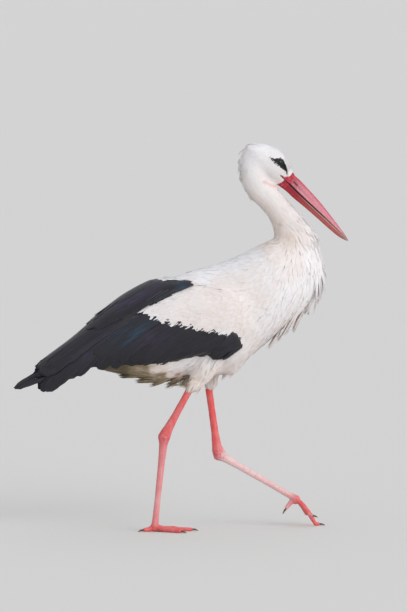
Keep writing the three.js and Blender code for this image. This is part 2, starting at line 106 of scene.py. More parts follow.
def meshOf(name, points, faces):
    mesh = bpy.data.meshes.new(name)
    mesh.vertices.add(len(points))
    mesh.vertices.foreach_set("co", points.astype(np.float32).ravel())
    mesh.loops.add(faces.size)
    mesh.loops.foreach_set("vertex_index", faces.astype(np.int32).ravel())
    mesh.polygons.add(len(faces))
    mesh.polygons.foreach_set("loop_start", np.arange(0, faces.size, faces.shape[1], dtype=np.int32))
    mesh.update(calc_edges=True)
    mesh.polygons.foreach_set("use_smooth", np.ones(len(faces), dtype=bool))
    return mesh


def placed(name, data):
    made = bpy.data.objects.new(name, data)
    bpy.context.scene.collection.objects.link(made)
    return made


def pieceOf(name, mesh, material, replaced=()):
    mesh.materials.append(material)
    piece = placed(name, mesh)
    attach(piece, "root")
    if replaced:
        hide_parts(*replaced)
    return piece


def addUv(mesh, name, perPoint):
    corners = readOut(mesh.loops, "vertex_index", 1, np.int32)[:, 0]
    layer = mesh.uv_layers.new(name=name)
    layer.data.foreach_set("uv", perPoint[corners].astype(np.float32).ravel())


def addMarks(mesh, *columns):
    # up to four numbers at each point for the finishes to read
    values = np.zeros((len(mesh.vertices), 4), dtype=np.float32)
    for k, column in enumerate(columns):
        values[:, k] = column
    layer = mesh.color_attributes.new("marks", "FLOAT_COLOR", "POINT")
    layer.data.foreach_set("color", values.ravel())


def unit(vectors):
    return vectors / np.maximum(np.linalg.norm(vectors, axis=-1, keepdims=True), 1e-12)


def roundTurn(steps):
    # angles at the middles of even steps once round
    return (np.arange(steps) + 0.5) / steps * 2 * math.pi


def normalsOf(points, quads):
    across = np.cross(points[quads[:, 2]] - points[quads[:, 0]], points[quads[:, 3]] - points[quads[:, 1]])
    total = np.zeros_like(points)
    for corner in quads.T:
        for k in range(3):
            total[:, k] += np.bincount(corner, across[:, k], len(points))
    return unit(total)


def relaxed(points, faces, amount, rounds):
    # each point moves by this share towards the middle of its neighbours
    a, b = faces.ravel(), np.roll(faces, -1, axis=1).ravel()
    count = np.bincount(a, minlength=len(points)) + np.bincount(b, minlength=len(points))
    for _ in range(rounds):
        middle = np.stack([
            np.bincount(a, points[b, k], len(points)) + np.bincount(b, points[a, k], len(points))
            for k in range(3)], axis=1) / count[:, None]
        points = points + np.asarray(amount).reshape(-1, 1) * (middle - points)
    return points


def wrapped(parts, voxel):
    # one closed surface round all the parts, in even quads
    draft = placed("draft", meshOf("draft", *joined(parts)))
    wrap = draft.modifiers.new("wrap", "REMESH")
    wrap.mode, wrap.voxel_size = "VOXEL", voxel
    mesh = draft.evaluated_get(bpy.context.evaluated_depsgraph_get()).to_mesh()
    points, corners = readOut(mesh.vertices, "co", 3), readOut(mesh.loops, "vertex_index", 1, np.int32)
    bpy.data.objects.remove(draft)
    return points, corners.reshape(-1, 4)


def surfaceTree(points, faces):
    return BVHTree.FromPolygons(points.tolist(), faces.tolist())


def placeTree(places):
    tree = KDTree(len(places))
    for i, place in enumerate(places):
        tree.insert(Vector(place), i)
    tree.balance()
    return tree


def nearestOn(tree, points):
    found = [tree.find_nearest(Vector(point)) for point in points]
    return np.array([f[0][:] for f in found]), np.array([f[2] for f in found])


def gridFaces(rows, columns, closed=False):
    # quads over a grid of points; closed joins the last column to the first
    r, c = np.meshgrid(np.arange(rows - 1), np.arange(columns if closed else columns - 1), indexing="ij")
    r, c, d = r.ravel() * columns, c.ravel(), (c.ravel() + 1) % columns
    return np.stack([r + c, r + d, r + columns + d, r + columns + c], axis=1)


def lofted(rings):
    # rings with an even number of points, closed with strips of quads at both ends
    count, sides = rings.shape[:2]
    i = np.arange(sides // 2 - 1)
    cap = np.stack([i, i + 1, sides - 2 - i, sides - 1 - i], axis=1)
    faces = np.concatenate([gridFaces(count, sides, True), cap[:, ::-1], cap + (count - 1) * sides])
    return rings.reshape(-1, 3), faces


def smoothedRows(values, rounds):
    for _ in range(rounds):
        padded = np.concatenate([values[:1], values, values[-1:]])
        values = (padded[:-2] + 2 * values + padded[2:]) / 4
    return values


def smoothedGrid(values, rounds):
    # along the columns, then once along the rows
    return smoothedRows(smoothedRows(values, rounds).T, 1).T


def curveThrough(keys, values, at):
    # a smooth curve through values at rising keys
    keys, values = np.asarray(keys, float), np.asarray(values, float)
    slopes = np.gradient(values, keys, axis=0)
    i = np.clip(np.searchsorted(keys, at) - 1, 0, len(keys) - 2)
    span = keys[i + 1] - keys[i]
    t = np.clip((at - keys[i]) / span, 0, 1)
    if values.ndim > 1:
        t, span = t[:, None], span[:, None]
    return ((2 * t ** 3 - 3 * t ** 2 + 1) * values[i] + (t ** 3 - 2 * t ** 2 + t) * span * slopes[i]
            + (3 * t ** 2 - 2 * t ** 3) * values[i + 1] + (t ** 3 - t ** 2) * span * slopes[i + 1])


def evenCurve(values, shares):
    # the same, with the values spaced evenly from 0 to 1
    return curveThrough(np.linspace(0, 1, len(values)), values, shares)


# the solids as arrays, and which of them each of their faces belongs to
solidNames = sorted(frame["nodes"])
solidArrays = {name: arraysOf(frame["nodes"][name].data) for name in solidNames}
solidOwner = np.repeat(np.arange(len(solidNames)), [len(solidArrays[name][1]) for name in solidNames])
solidTree = surfaceTree(*joined(list(solidArrays.values())))
slotOf = {part["node"]: part["material_slot"] for part in frame["record"]["subparts"]}
legStarts = ("tibia", "hock", "tarsus", "foot", "toe")
hornStarts = ("eye", "bill", "claw")
bodyNames = [name for name in solidNames if not name.startswith(legStarts + hornStarts)]
legNames = [name for name in solidNames if name.startswith(legStarts)]
clawNames = [name for name in solidNames if name.startswith("claw")]

# how the coat lies: at places in side view, the lie (degrees round from straight ahead, upwards
# positive), a feather's length and width, the coat's depth, and how creamy the white is, whose highest
# values paint brownish shade, most of all under the belly and the tail
coatPlan = [
    # head
    (236, 808, 120, 7, 2.4, 0.8, 0.1), (224, 842, 134, 8, 2.6, 1, 0), (206, 860, 152, 10, 3, 1.2, 0),
    (180, 869, 182, 13, 3.2, 1.4, 0), (152, 866, 205, 17, 3.4, 1.8, 0), (128, 848, 240, 18, 3.4, 2, 0),
    (119, 815, 268, 20, 3.4, 2.2, 0.1), (226, 806, 136, 6, 2.2, 0.6, 0.1), (205, 842, 165, 7, 2.4, 0.8, 0),
    (212, 812, 165, 6, 2.2, 0.6, 0.1), (196, 806, 190, 8, 2.6, 1, 0.15), (184, 830, 195, 10, 3, 1.2, 0.1),
    (160, 835, 215, 14, 3.2, 1.6, 0.05), (190, 788, 212, 9, 2.8, 1.2, 0.3),
    (168, 795, 240, 13, 3.2, 1.8, 0.25), (206, 776, 225, 8, 2.6, 1, 0.45),
    (150, 800, 262, 17, 3.4, 2.2, 0.1),
    # neck
    (124, 783, 292, 22, 3.8, 2.6, 0.2), (150, 742, 314, 26, 3.8, 3, 0.45),
    (178, 713, 308, 28, 4.2, 3.2, 0.5), (196, 680, 282, 28, 4.6, 3.2, 0.6),
    (192, 762, 300, 20, 3.8, 2.6, 0.25), (172, 768, 300, 22, 3.8, 2.6, 0.2),
    (216, 754, 312, 20, 3.8, 2.4, 0.3), (210, 728, 310, 26, 4.4, 3, 0.3),
    (248, 722, 313, 26, 4.4, 2.8, 0.25), (238, 690, 305, 32, 4.8, 3.4, 0.35),
    (276, 690, 306, 34, 4.6, 3.2, 0.2), (299, 650, 288, 44, 4.8, 3.6, 0.15),
    (262, 660, 292, 38, 5.6, 3.8, 0.35), (228, 655, 268, 34, 7, 3.8, 0.58),
    # breast and belly
    (311, 605, 274, 50, 5.4, 4, 0.1), (280, 610, 276, 46, 7, 4.4, 0.15),
    (245, 610, 256, 40, 9.5, 4.4, 0.28), (304, 560, 270, 54, 5.6, 4.4, 0.1),
    (298, 520, 262, 52, 5.8, 4.6, 0.15), (262, 545, 255, 44, 8, 4.6, 0.1), (268, 486, 250, 50, 6, 4.8, 0.2),
    (236, 460, 240, 48, 6.5, 5, 0.3), (220, 510, 238, 42, 9, 4.6, 0.1), (196, 430, 226, 46, 7, 5, 0.3),
    (168, 470, 222, 40, 9, 4.6, 0.15), (155, 398, 214, 44, 8, 5, 0.3), (122, 366, 206, 40, 8.5, 5, 0.35),
    (128, 410, 212, 36, 8.5, 4.4, 0.25), (80, 350, 200, 36, 9, 5, 0.4), (20, 346, 190, 34, 9, 4.6, 0.6),
    (-60, 328, 180, 38, 8, 4.6, 0.98), (-110, 338, 172, 40, 8, 4.4, 1.1), (-28, 336, 185, 36, 8, 4.6, 0.98),
    (-62, 350, 184, 36, 8, 4.2, 0.95), (-105, 352, 176, 38, 8, 4, 1.05), (-18, 350, 186, 34, 8, 4.2, 0.85),
    (-112, 366, 176, 36, 8, 4, 0.85), (-150, 366, 170, 36, 8, 3.8, 1.3), (-70, 372, 196, 34, 8, 3.8, 0.5),
    (-36, 370, 200, 32, 8, 3.8, 0.2), (-10, 372, 205, 30, 8, 3.8, 0.1), (-160, 352, 168, 38, 8, 3.8, 1.35),
    (-220, 366, 166, 36, 8, 3.4, 1.5),
    # mantle, back and white coverts of the wing
    (185, 652, 205, 28, 8.5, 3.4, 0.5), (205, 615, 228, 34, 10, 4, 0.3), (140, 632, 200, 30, 11, 3.4, 0.05),
    (90, 608, 195, 32, 12, 3.4, 0), (30, 590, 192, 34, 13, 3.2, 0), (-40, 574, 196, 34, 13, 3, 0),
    (-90, 556, 200, 34, 13, 2.6, 0), (160, 580, 222, 34, 11, 3.8, 0.2), (150, 525, 220, 34, 11, 3.8, 0.28),
    (105, 560, 204, 28, 11, 3.2, 0.3), (105, 510, 202, 26, 11, 3, 0.36), (110, 465, 202, 24, 9, 2.6, 0.36),
    (60, 535, 198, 28, 11, 3, 0.34), (55, 480, 198, 26, 10, 2.6, 0.36), (0, 540, 200, 28, 12, 3, 0.28),
    (0, 490, 198, 28, 11, 2.6, 0.32), (-60, 510, 202, 28, 12, 2.6, 0.2), (-105, 504, 204, 28, 11, 2.2, 0.1),
    # black of the wing
    (60, 430, 205, 18, 7, 1.6, 0), (90, 415, 205, 16, 6, 1.6, 0), (-20, 420, 208, 26, 9, 1.4, 0),
    (-120, 430, 210, 30, 10, 1.4, 0), (-200, 440, 212, 30, 10, 1.3, 0), (-260, 390, 214, 30, 10, 1, 0),
    (-330, 345, 212, 30, 10, 0.8, 0),
    # thighs
    (48, 390, 246, 28, 7, 4, 0.2), (28, 352, 243, 28, 5.5, 3.6, 0.38), (14, 324, 239, 22, 4, 1.8, 0.55),
    (68, 350, 264, 26, 5.5, 3.4, 0.5), (66, 318, 273, 20, 4, 1.8, 0.4),
]
planRows = np.array(coatPlan, dtype=float)
planPlaces = planRows[:, :2]
planAngles = np.radians(planRows[:, 2])
planValues = np.stack([np.cos(planAngles), np.sin(planAngles), *planRows[:, 3:].T], axis=1)
planReach = 9.0  # each place rules this far round itself, in millimetres
planFading = 2.5  # how fast its say fades farther out


def coatAt(points):
    # lie as a vector, length, width and depth in metres, and creaminess, whose highest values paint brownish
    # shade
    apart = ((sideView(points)[:, None, :] - planPlaces[None]) ** 2).sum(axis=2)
    weight = 1 / (apart + planReach ** 2) ** planFading
    value = (weight @ planValues) / weight.sum(axis=1, keepdims=True)
    lie = unit(np.stack([value[:, 0], np.zeros(len(points)), value[:, 1]], axis=1))
    return {"lie": lie, "length": value[:, 2] * mm, "width": value[:, 3] * mm,
            "depth": value[:, 4] * mm, "creamAndShade": value[:, 5]}


class Wire:
    # a socket that takes part in sums
    def __init__(self, finish, socket):
        self.finish, self.socket = finish, socket

    def __add__(self, other):
        return self.finish.maths("ADD", self, other)

    def __sub__(self, other):
        return self.finish.maths("SUBTRACT", self, other)

    def __rsub__(self, other):
        return self.finish.maths("SUBTRACT", other, self)

    def __mul__(self, other):
        return self.finish.maths("MULTIPLY", self, other)

    __radd__ = __add__
    __rmul__ = __mul__


class Finish:
    # a material whose nodes are added one by one
    def __init__(self, name):
        self.material = bpy.data.materials.new(name)
        self.material.use_nodes = True
        self.material.node_tree.nodes.clear()

    def node(self, kind, settings=None, output=0, **inputs):
        # an input is named by its socket, or i and the socket's number
        made = self.material.node_tree.nodes.new("ShaderNode" + kind)
        for key, value in (settings or {}).items():
            setattr(made, key, value)
        for key, value in inputs.items():
            socket = made.inputs[int(key[1:]) if key[1:].isdigit() else key.replace("_", " ")]
            if isinstance(value, Wire):
                self.material.node_tree.links.new(value.socket, socket)
            else:
                socket.default_value = value
        return Wire(self, made.outputs[output]) if len(made.outputs) else None

    def maths(self, operation, a, b=0.0, clamp=False):
        return self.node("Math", {"operation": operation, "use_clamp": clamp}, i0=a, i1=b)

    def clamped(self, value):
        return self.maths("ADD", value, clamp=True)

    def stretch(self, value, low, high, lowest=0.0, highest=1.0):
        return self.node("MapRange", {"interpolation_type": "SMOOTHSTEP"},
                         i0=value, i1=low, i2=high, i3=lowest, i4=highest)

    def mix(self, share, a, b):
        return self.node("Mix", {"data_type": "RGBA"}, output=2, i0=share, i6=a, i7=b)

    def place(self):
        return self.node("TexCoord", output=3)

    def uv(self, name):
        return self.node("UVMap", {"uv_map": name})

    def split(self, vector):
        outputs = self.node("SeparateXYZ", i0=vector).socket.node.outputs
        return [Wire(self, outputs[k]) for k in range(3)]

    def marks(self):
        made = self.node("Attribute", {"attribute_name": "marks"}, output=1)
        return self.split(made) + [Wire(self, made.socket.node.outputs[3])]

    def vane(self, look):
        # how far a place on a feather is from its shaft, and its fine slanting barbs
        across, along, _ = self.split(self.uv("vane"))
        off = self.maths("ABSOLUTE", across - 0.5)
        return off, self.maths("SINE", along * look["barbs"] - off * look["slant"]) * 0.5 + 0.5

    def scaled(self, vector, scale):
        return self.node("VectorMath", {"operation": "MULTIPLY"}, i0=vector, i1=scale)

    def noise(self, vector, scale, detail=3.0):
        return self.node("TexNoise", Vector=vector, Scale=scale, Detail=detail)

    def bump(self, height, strength, distance):
        return self.node("Bump", Height=height, Strength=strength, Distance=distance)

    def surface(self, **sockets):
        shader = self.node("BsdfPrincipled", **sockets)
        self.node("OutputMaterial", Surface=shader)
        return self.material


def srgb(code):
    parts = [int(code[k:k + 2], 16) / 255 for k in (0, 2, 4)]
    return (*[p / 12.92 if p <= 0.04045 else ((p + 0.055) / 1.055) ** 2.4 for p in parts], 1.0)


# the two browns are painted shade under the belly and the tail, where the creamy mark runs highest
plumageLook = {
    "white": srgb("e9e7e9"), "shadeOfWhite": srgb("e2e0e2"), "creamAndShade": srgb("dcc8ba"),
    "shadeBrown": srgb("85755a"), "shadeBrownFrom": (0.6, 0.98), "faceBlack": srgb("12121c"),
    "shadeUmber": srgb("453e2a"), "shadeUmberFrom": (1.05, 1.35, 0.0, 0.8), "blush": srgb("dfa3a6"), "blushed": 0.8,
    "barbs": 60.0, "slant": 70.0, "shaft": 0.06, "clouds": 26.0, "patches": 42.0,
}


def plumageFinish(name, gloss):
    # marks: how dark, how creamy and past that how deep the painted shade, each feather's own chance, and how
    # pink
    look, f = plumageLook, Finish(name)
    dark, creamAndShade, luck, pink = f.marks()
    off, barbs = f.vane(look)
    shaft = f.stretch(off, 0.0, look["shaft"], 1.0, 0.0)
    cloud, patches = f.noise(f.place(), look["clouds"]), f.noise(f.place(), look["patches"])
    odd = luck - 0.5
    colour = f.mix(f.clamped(luck * 0.6 + cloud * 0.6 - 0.2), look["white"], look["shadeOfWhite"])
    colour = f.mix(f.clamped(creamAndShade * (0.75 + patches * 0.9) + odd * 0.2), colour, look["creamAndShade"])
    # painted shade: brownish, then darker still, where the creamy mark runs highest
    paintedShade = f.stretch(creamAndShade + odd * 0.2 + (patches - 0.5) * 0.4, *look["shadeBrownFrom"])
    colour = f.mix(paintedShade, colour, look["shadeBrown"])
    colour = f.mix(f.stretch(creamAndShade + odd * 0.15, *look["shadeUmberFrom"]), colour, look["shadeUmber"])
    colour = f.mix(f.clamped(shaft * 0.04 + barbs * 0.04), colour, look["creamAndShade"])
    colour = f.mix(pink * look["blushed"], colour, look["blush"])
    colour = f.mix(dark, colour, look["faceBlack"])
    return f.surface(Base_Color=colour, Roughness=gloss + (barbs - 0.5) * 0.10 + odd * 0.08,
                     Sheen_Weight=0.12, Specular_IOR_Level=0.3,
                     Normal=f.bump(barbs + shaft * 0.8, 0.12, 0.0002))


quillLook = {
    "black": srgb("17161c"), "dusty": srgb("212028"), "edge": srgb("3a3840"), "tealSheen": srgb("223e52"),
    "violetSheen": srgb("3f3252"), "edgeFrom": (0.38, 0.5, 0.0, 0.5), "sheenFrom": (0.56, 0.78),
    "streaks": (5.0, 0.14, 1.0), "barbs": 45.0, "slant": 60.0, "shaft": 0.035, "clouds": 30.0,
}


def quillFinish():
    # marks: hue of the painted sheen, how much of it, and each feather's own chance
    look, f = quillLook, Finish("flight_feathers")
    hue, sheen, luck, _ = f.marks()
    off, barbs = f.vane(look)
    shaft = f.stretch(off, 0.0, look["shaft"], 1.0, 0.0)
    cloud = f.noise(f.place(), look["clouds"])
    streaks = f.noise(f.scaled(f.uv("vane"), look["streaks"]), 1.6)
    colour = f.mix(f.clamped(luck * 0.5 + cloud * 0.7 - 0.1), look["black"], look["dusty"])
    colour = f.mix(f.stretch(off, *look["edgeFrom"]), colour, look["edge"])
    # the blue-green and purple sheen is painted into the colour in streaks along the feathers
    band = f.stretch(streaks + cloud * 0.35, *look["sheenFrom"])
    colour = f.mix(f.clamped(band * sheen), colour, f.mix(hue, look["tealSheen"], look["violetSheen"]))
    colour = f.mix(shaft * 0.5, colour, look["black"])
    return f.surface(Base_Color=colour, Roughness=0.40 + (barbs - 0.5) * 0.12 + cloud * 0.12,
                     Normal=f.bump(barbs + shaft * 2.0, 0.16, 0.0002), Specular_IOR_Level=0.4)


skinLook = {
    "coral": srgb("e24e4c"), "rose": srgb("e0898c"), "paleAndHighlight": srgb("e9cbca"), "crease": srgb("b04a44"),
    "underPlumage": srgb("e6dfdb"), "blackSkinAndShadow": srgb("1f1e26"), "fleshRed": srgb("a8263a"),
    "scales": 420.0, "seam": 0.12, "streaks": 130.0, "drawnOut": (1.0, 1.0, 0.3), "clouds": 45.0,
    "blotches": 160.0, "mottling": 300.0,
}


def skinFinish():
    # marks: leg or feathered body, pale shank (partly painted highlight), how dark (black skin, and painted
    # shadow on the flesh), and the red flesh round the bill
    look, f = skinLook, Finish("stork_skin")
    leg, paleAndHighlight, dark, red = f.marks()
    place = f.place()
    scales = f.node("TexVoronoi", {"feature": "DISTANCE_TO_EDGE"}, Vector=place, Scale=look["scales"])
    seams = f.stretch(scales, 0.0, look["seam"], 1.0, 0.0)
    streaks = f.noise(f.scaled(place, look["drawnOut"]), look["streaks"])
    cloud = f.noise(place, look["clouds"])
    blotches = f.stretch(f.noise(place, look["blotches"]), 0.42, 0.6)
    mottling = f.stretch(f.noise(place, look["mottling"], 4.0), 0.45, 0.75, 0.0, 0.45)
    # the pale of the shanks and the lighter streaks on the shins are partly the legs' own paleness and partly
    # painted highlight
    rosy = f.clamped(paleAndHighlight * 2 + (streaks - 0.42) * 1.5 + (cloud - 0.5) * 0.6)
    bare = f.mix(rosy, look["coral"], look["rose"])
    bare = f.mix(f.clamped(paleAndHighlight * 2 - 1 + (streaks - 0.5) * 0.9), bare, look["paleAndHighlight"])
    bare = f.mix(f.clamped(red * blotches) * 0.7, bare, look["fleshRed"])
    bare = f.mix(seams * 0.4, bare, look["crease"])
    hidden = f.mix(red, look["underPlumage"], f.mix(mottling, look["fleshRed"], look["rose"]))
    # black skin under black feathers, round the eye and on the lids, and painted shadow on the flesh by the
    # gape
    hidden = f.mix(f.clamped(dark), hidden, look["blackSkinAndShadow"])
    return f.surface(Base_Color=f.mix(leg, hidden, bare), Roughness=0.75 - leg * 0.27 + seams * 0.1,
                     Normal=f.bump((1 - seams) * leg, 0.6, 0.0004), Specular_IOR_Level=0.4)


billPlan = {
    "square": 1.75, "sides": 44, "inner": 0.25, "gap": 0.12, "lip": 0.35, "long": 198,
    "fineTo": 40, "fineStep": 1.2, "rows": 66,
    # ahead, line where the two meet, how far it reaches from there, half-width
    "upper": [(-14, -4, 23, 11.5), (2, -4.2, 22.5, 12), (23, -5, 24, 11), (56, -5, 22.5, 9),
              (91, -4.2, 19, 7.4), (127, -3.4, 13.4, 6), (164, -3.4, 7.6, 4.2), (190, -4.1, 3.4, 2.2),
              (198, -4.6, 1.2, 0.9)],
    "lower": [(-22, -4.8, 19.6, 10.5), (-6, -4.8, 18.6, 11.5), (14, -5.6, 15, 10.4), (40, -5.8, 14.2, 9),
              (75, -5.2, 12.2, 7.6), (120, -4.4, 11, 6), (151, -4.2, 10, 4.6), (180, -4.6, 6.6, 3),
              (195, -5.4, 1.2, 0.9)],
    "nostril": {"from": 12, "to": 28, "ends": 2.5, "above": 10.5, "high": 1.5, "deep": 2.0},
    "upperGroove": {"to": 96, "fades": 60, "starts": 8, "falls": 0.035, "high": 2.2, "deep": 0.75},
    "lowerGroove": {"to": 150, "fades": 60, "share": 0.34, "high": 1.6, "deep": 0.35},
}


def mandible(key):
    # one half of the bill: points, faces, and the marks that its finish reads
    plan, groove, slit = billPlan, billPlan[key + "Groove"], billPlan["nostril"]
    table = np.array(plan[key], dtype=float)
    ahead = np.concatenate([np.arange(table[0, 0], plan["fineTo"], plan["fineStep"]),
                            np.linspace(plan["fineTo"], table[-1, 0], plan["rows"])])
    above, deep, wide = curveThrough(table[:, 0], table[:, 1:], ahead).T[:, :, None]
    span = ahead[:, None]
    turn = roundTurn(plan["sides"]) - math.pi / 2
    bend = 2 / plan["square"]
    out = np.sign(np.cos(turn)) * np.abs(np.cos(turn)) ** bend
    rise = np.sign(np.sin(turn)) * np.abs(np.sin(turn)) ** bend
    high = np.where(rise > 0, rise * deep, rise * plan["inner"])
    left = out * wide
    fading = np.clip((groove["to"] - span) / groove["fades"], 0, 1)
    if key == "upper":
        way = 1
        inSlit = np.exp(-((high - slit["above"]) / slit["high"]) ** 4)
        inSlit = inSlit * np.clip(np.minimum(span - slit["from"], slit["to"] - span) / slit["ends"], 0, 1)
        line = slit["above"] - (span - slit["to"]) * groove["falls"]
        fading = fading * np.clip(span / groove["starts"], 0, 1)
    else:
        way = -1
        inSlit = np.zeros_like(high)
        line = deep * groove["share"]
    inGroove = np.exp(-((high - line) / groove["high"]) ** 2) * fading
    lip = np.exp(-(high - 1.0) ** 2) * plan["lip"]
    left = left - np.sign(left) * (inSlit * slit["deep"] + inGroove * groove["deep"])
    left = left + np.sign(left) * lip
    lifted = above + (high + plan["gap"]) * way
    points, faces = lofted(headPlace(np.broadcast_to(span, high.shape), lifted, left))
    # the third mark is where painted shade darkens the nostril and the grooves
    marks = [np.clip(high / deep, 0, 1), np.broadcast_to(span / plan["long"], high.shape),
             np.maximum(inSlit, inGroove * 0.35)]
    return points, faces[:, ::way], [mark.ravel() for mark in marks]


# the skin is one surface over all that is flesh or feather, inside it by the coat's depth
skinPlan = {
    "bodyVoxel": 3.55 * mm, "legVoxel": 1.4 * mm, "socketFill": 0.9, "bodyRounds": 6, "legRounds": 9,
    "legIn": 0.55, "legOut": -0.56, "floor": 0.4 * mm,
    "plumes": {"from": 165, "thin": 20 * mm, "drawnBack": 600},
    "breast": {"x": 262, "reach": 40, "top": 640, "rounds": 60, "lowFrom": 600, "lowReach": 120, "lowX": 175},
    "shoulder": {"middle": (134, 500), "reach": (62, 110), "rounds": 60},
    "sleeve": {"from": 366, "to": 311, "width": 22, "sizes": (1.3, 1.3, 1.3, 1.25, 1.2, 1.12, 1.05, 1, 0.9)},
    "pad": {"reach": 12 * mm, "share": 0.97},
}


def socketFill(name):
    points, faces = solidArrays[name]
    middle = points.mean(axis=0)
    return middle + (points - middle) * skinPlan["socketFill"], faces


def thighSleeve(side):
    # the feathered top of the shin, a tube of triangles round it
    plan, points = skinPlan["sleeve"], solidArrays["tibia_" + side][0]
    heights = points[:, 2]
    high, low = np.quantile(heights, 0.8), np.quantile(heights, 0.2)
    top, bottom = points[heights > high].mean(axis=0), points[heights < low].mean(axis=0)
    sizes = np.array(plan["sizes"])
    levels = np.linspace(plan["from"], plan["to"], len(sizes)) * mm
    middles = bottom + (top - bottom) * ((levels - bottom[2]) / (top[2] - bottom[2]))[:, None]
    turn = roundTurn(16)
    ring = np.stack([np.cos(turn), np.sin(turn), 0 * turn], axis=1) * plan["width"] / 2 * mm
    points, quads = lofted((middles[:, None] + ring * sizes[:, None, None])[::-1])
    return points, np.concatenate([quads[:, [0, 1, 2]], quads[:, [0, 2, 3]]])


def withoutPlumes(points, faces):
    # draws the thin plumes of the breast back into the body
    flat, plan = sideView(points), skinPlan["plumes"]
    tree, inward = surfaceTree(points, faces), -normalsOf(points, faces)
    thin = np.zeros(len(points))
    for i in np.flatnonzero((flat[:, 0] > plan["from"]) & (flat[:, 1] < skinPlan["breast"]["top"])):
        start = points[i] + inward[i] * 0.5 * mm
        far = tree.ray_cast(Vector(start), Vector(inward[i]))[3]
        thin[i] = far is not None and far < plan["thin"]
    for _ in range(3):
        near = thin[faces].max(axis=1)
        np.maximum.at(thin, faces.ravel(), np.repeat(near, 4))
    touched = faces[thin[faces].max(axis=1) > 0]
    used, local = np.unique(touched.ravel(), return_inverse=True)
    points = points.copy()
    points[used] = relaxed(points[used], local.reshape(-1, 4), 0.95 * thin[used], plan["drawnBack"])
    return points


def bodySkin():
    parts = [solidArrays[n] for n in bodyNames] + [socketFill("eye_right"), socketFill("eye_left")]
    points, faces = wrapped(parts + [thighSleeve("right"), thighSleeve("left")], skinPlan["bodyVoxel"])
    points = relaxed(withoutPlumes(points, faces), faces, 0.5, skinPlan["bodyRounds"])
    flat, breast, shoulder = sideView(points), skinPlan["breast"], skinPlan["shoulder"]
    hanging = np.clip((flat[:, 0] - breast["x"] + breast["reach"]) / breast["reach"], 0, 1)
    low = np.clip((breast["lowFrom"] - flat[:, 1]) / breast["lowReach"], 0, 1)
    hanging = np.maximum(hanging, low * np.clip((flat[:, 0] - breast["lowX"]) / breast["reach"], 0, 1))
    points = relaxed(points, faces, 0.6 * (hanging * (flat[:, 1] < breast["top"])), breast["rounds"])
    apart = (np.abs(flat - shoulder["middle"]) / shoulder["reach"]).max(axis=1)
    points = relaxed(points, faces, 0.6 * np.clip(1.5 - apart * 1.5, 0, 1), shoulder["rounds"])
    inside = points - normalsOf(points, faces) * coatAt(points)["depth"][:, None]
    return relaxed(inside, faces, 0.4, 2), faces


def anklePads(side):
    # hulls that smooth the steps between the bones of the ankle
    hock, plan = solidArrays["hock_" + side][0], skinPlan["pad"]
    middle = hock.mean(axis=0)
    for bone in ("tibia_", "tarsus_"):
        points = solidArrays[bone + side][0]
        along = (points - middle) @ unit(points.mean(axis=0) - middle)
        near = points[along < along.min() + plan["reach"]]
        form = bmesh.new()
        for point in np.concatenate([near, middle + (hock - middle) * plan["share"]]):
            form.verts.new(point)
        bmesh.ops.convex_hull(form, input=form.verts)
        loose = [v for v in form.verts if not v.link_faces]
        bmesh.ops.delete(form, geom=loose, context="VERTS")
        bmesh.ops.recalc_face_normals(form, faces=form.faces)
        mesh = bpy.data.meshes.new("pad")
        form.to_mesh(mesh)
        form.free()
        yield arraysOf(mesh)


def legSkin():
    pads = [*anklePads("right"), *anklePads("left")]
    points, faces = wrapped([solidArrays[n] for n in legNames] + pads, skinPlan["legVoxel"])
    onFloor = points[:, 2] < skinPlan["floor"]
    for _ in range(skinPlan["legRounds"]):
        # in and out again, so that the legs keep their thickness
        points = relaxed(points, faces, skinPlan["legIn"], 1)
        points = relaxed(points, faces, skinPlan["legOut"], 1)
    points[onFloor, 2] = 0
    points[:, 2] = np.maximum(points[:, 2], 0)
    return points, faces


print("stork: drawing the skin")
bodyPoints, bodyFaces = bodySkin()
bodyTree = surfaceTree(bodyPoints, bodyFaces)
faceNormals = unit(normalsOf(bodyPoints, bodyFaces)[bodyFaces].mean(axis=1))
bodyOwners = solidOwner[nearestOn(solidTree, bodyPoints)[1]]
legPoints, legFaces = legSkin()
print("stork: skin has", len(bodyFaces), "body and", len(legFaces), "leg faces")

# the black patch round the eye with its streak down to the bill, in side view
eyePatch = [
    (187, 841.5), (192, 839.5), (199, 836.4), (206, 837.2), (212, 837.6), (216.5, 835.5), (220, 829.5),
    (223, 823), (226, 816), (228, 810), (227.6, 805), (229.5, 797), (227.2, 797), (225, 803), (222.5, 808),
    (218, 812), (212.5, 816), (205, 820.5), (199.5, 826), (195, 832),
]
# the edge of the feathers round the bill, from the forehead to the gape and then the chin: ahead and above
featherEdge = [
    (0, 20.5), (-0.8, 15), (-1.2, 10.8), (-4, 5.2), (-12, -1.6), (-19, -3.2), (-27, -3.9), (-19, -4.9),
    (-11, -5.6), (-4.5, -6.0), (-3.0, -9.7), (-5.0, -14), (-8.5, -19), (-12, -23.5),
]


def insideOutline(flat, outline):
    inside = np.zeros(len(flat), dtype=bool)
    for (x1, z1), (x2, z2) in zip(outline, outline[1:] + outline[:1]):
        crosses = (z1 > flat[:, 1]) != (z2 > flat[:, 1])
        rise = (z2 - z1) if z2 != z1 else 1e-9
        inside ^= crosses & (flat[:, 0] < (x2 - x1) * (flat[:, 1] - z1) / rise + x1)
    return inside


def faceDark(points):
    # the two sides' patches don't meet over the forehead
    return insideOutline(sideView(points), eyePatch) & (np.abs(points[:, 1]) > 7 * mm)


def faceBare(points, margin=0.0):
    # behind the bill, inside the feathers' edge
    edge = [(ahead - margin, above) for ahead, above in featherEdge]
    return insideOutline(headView(points), edge + [(40, featherEdge[-1][1]), (40, featherEdge[0][1])])


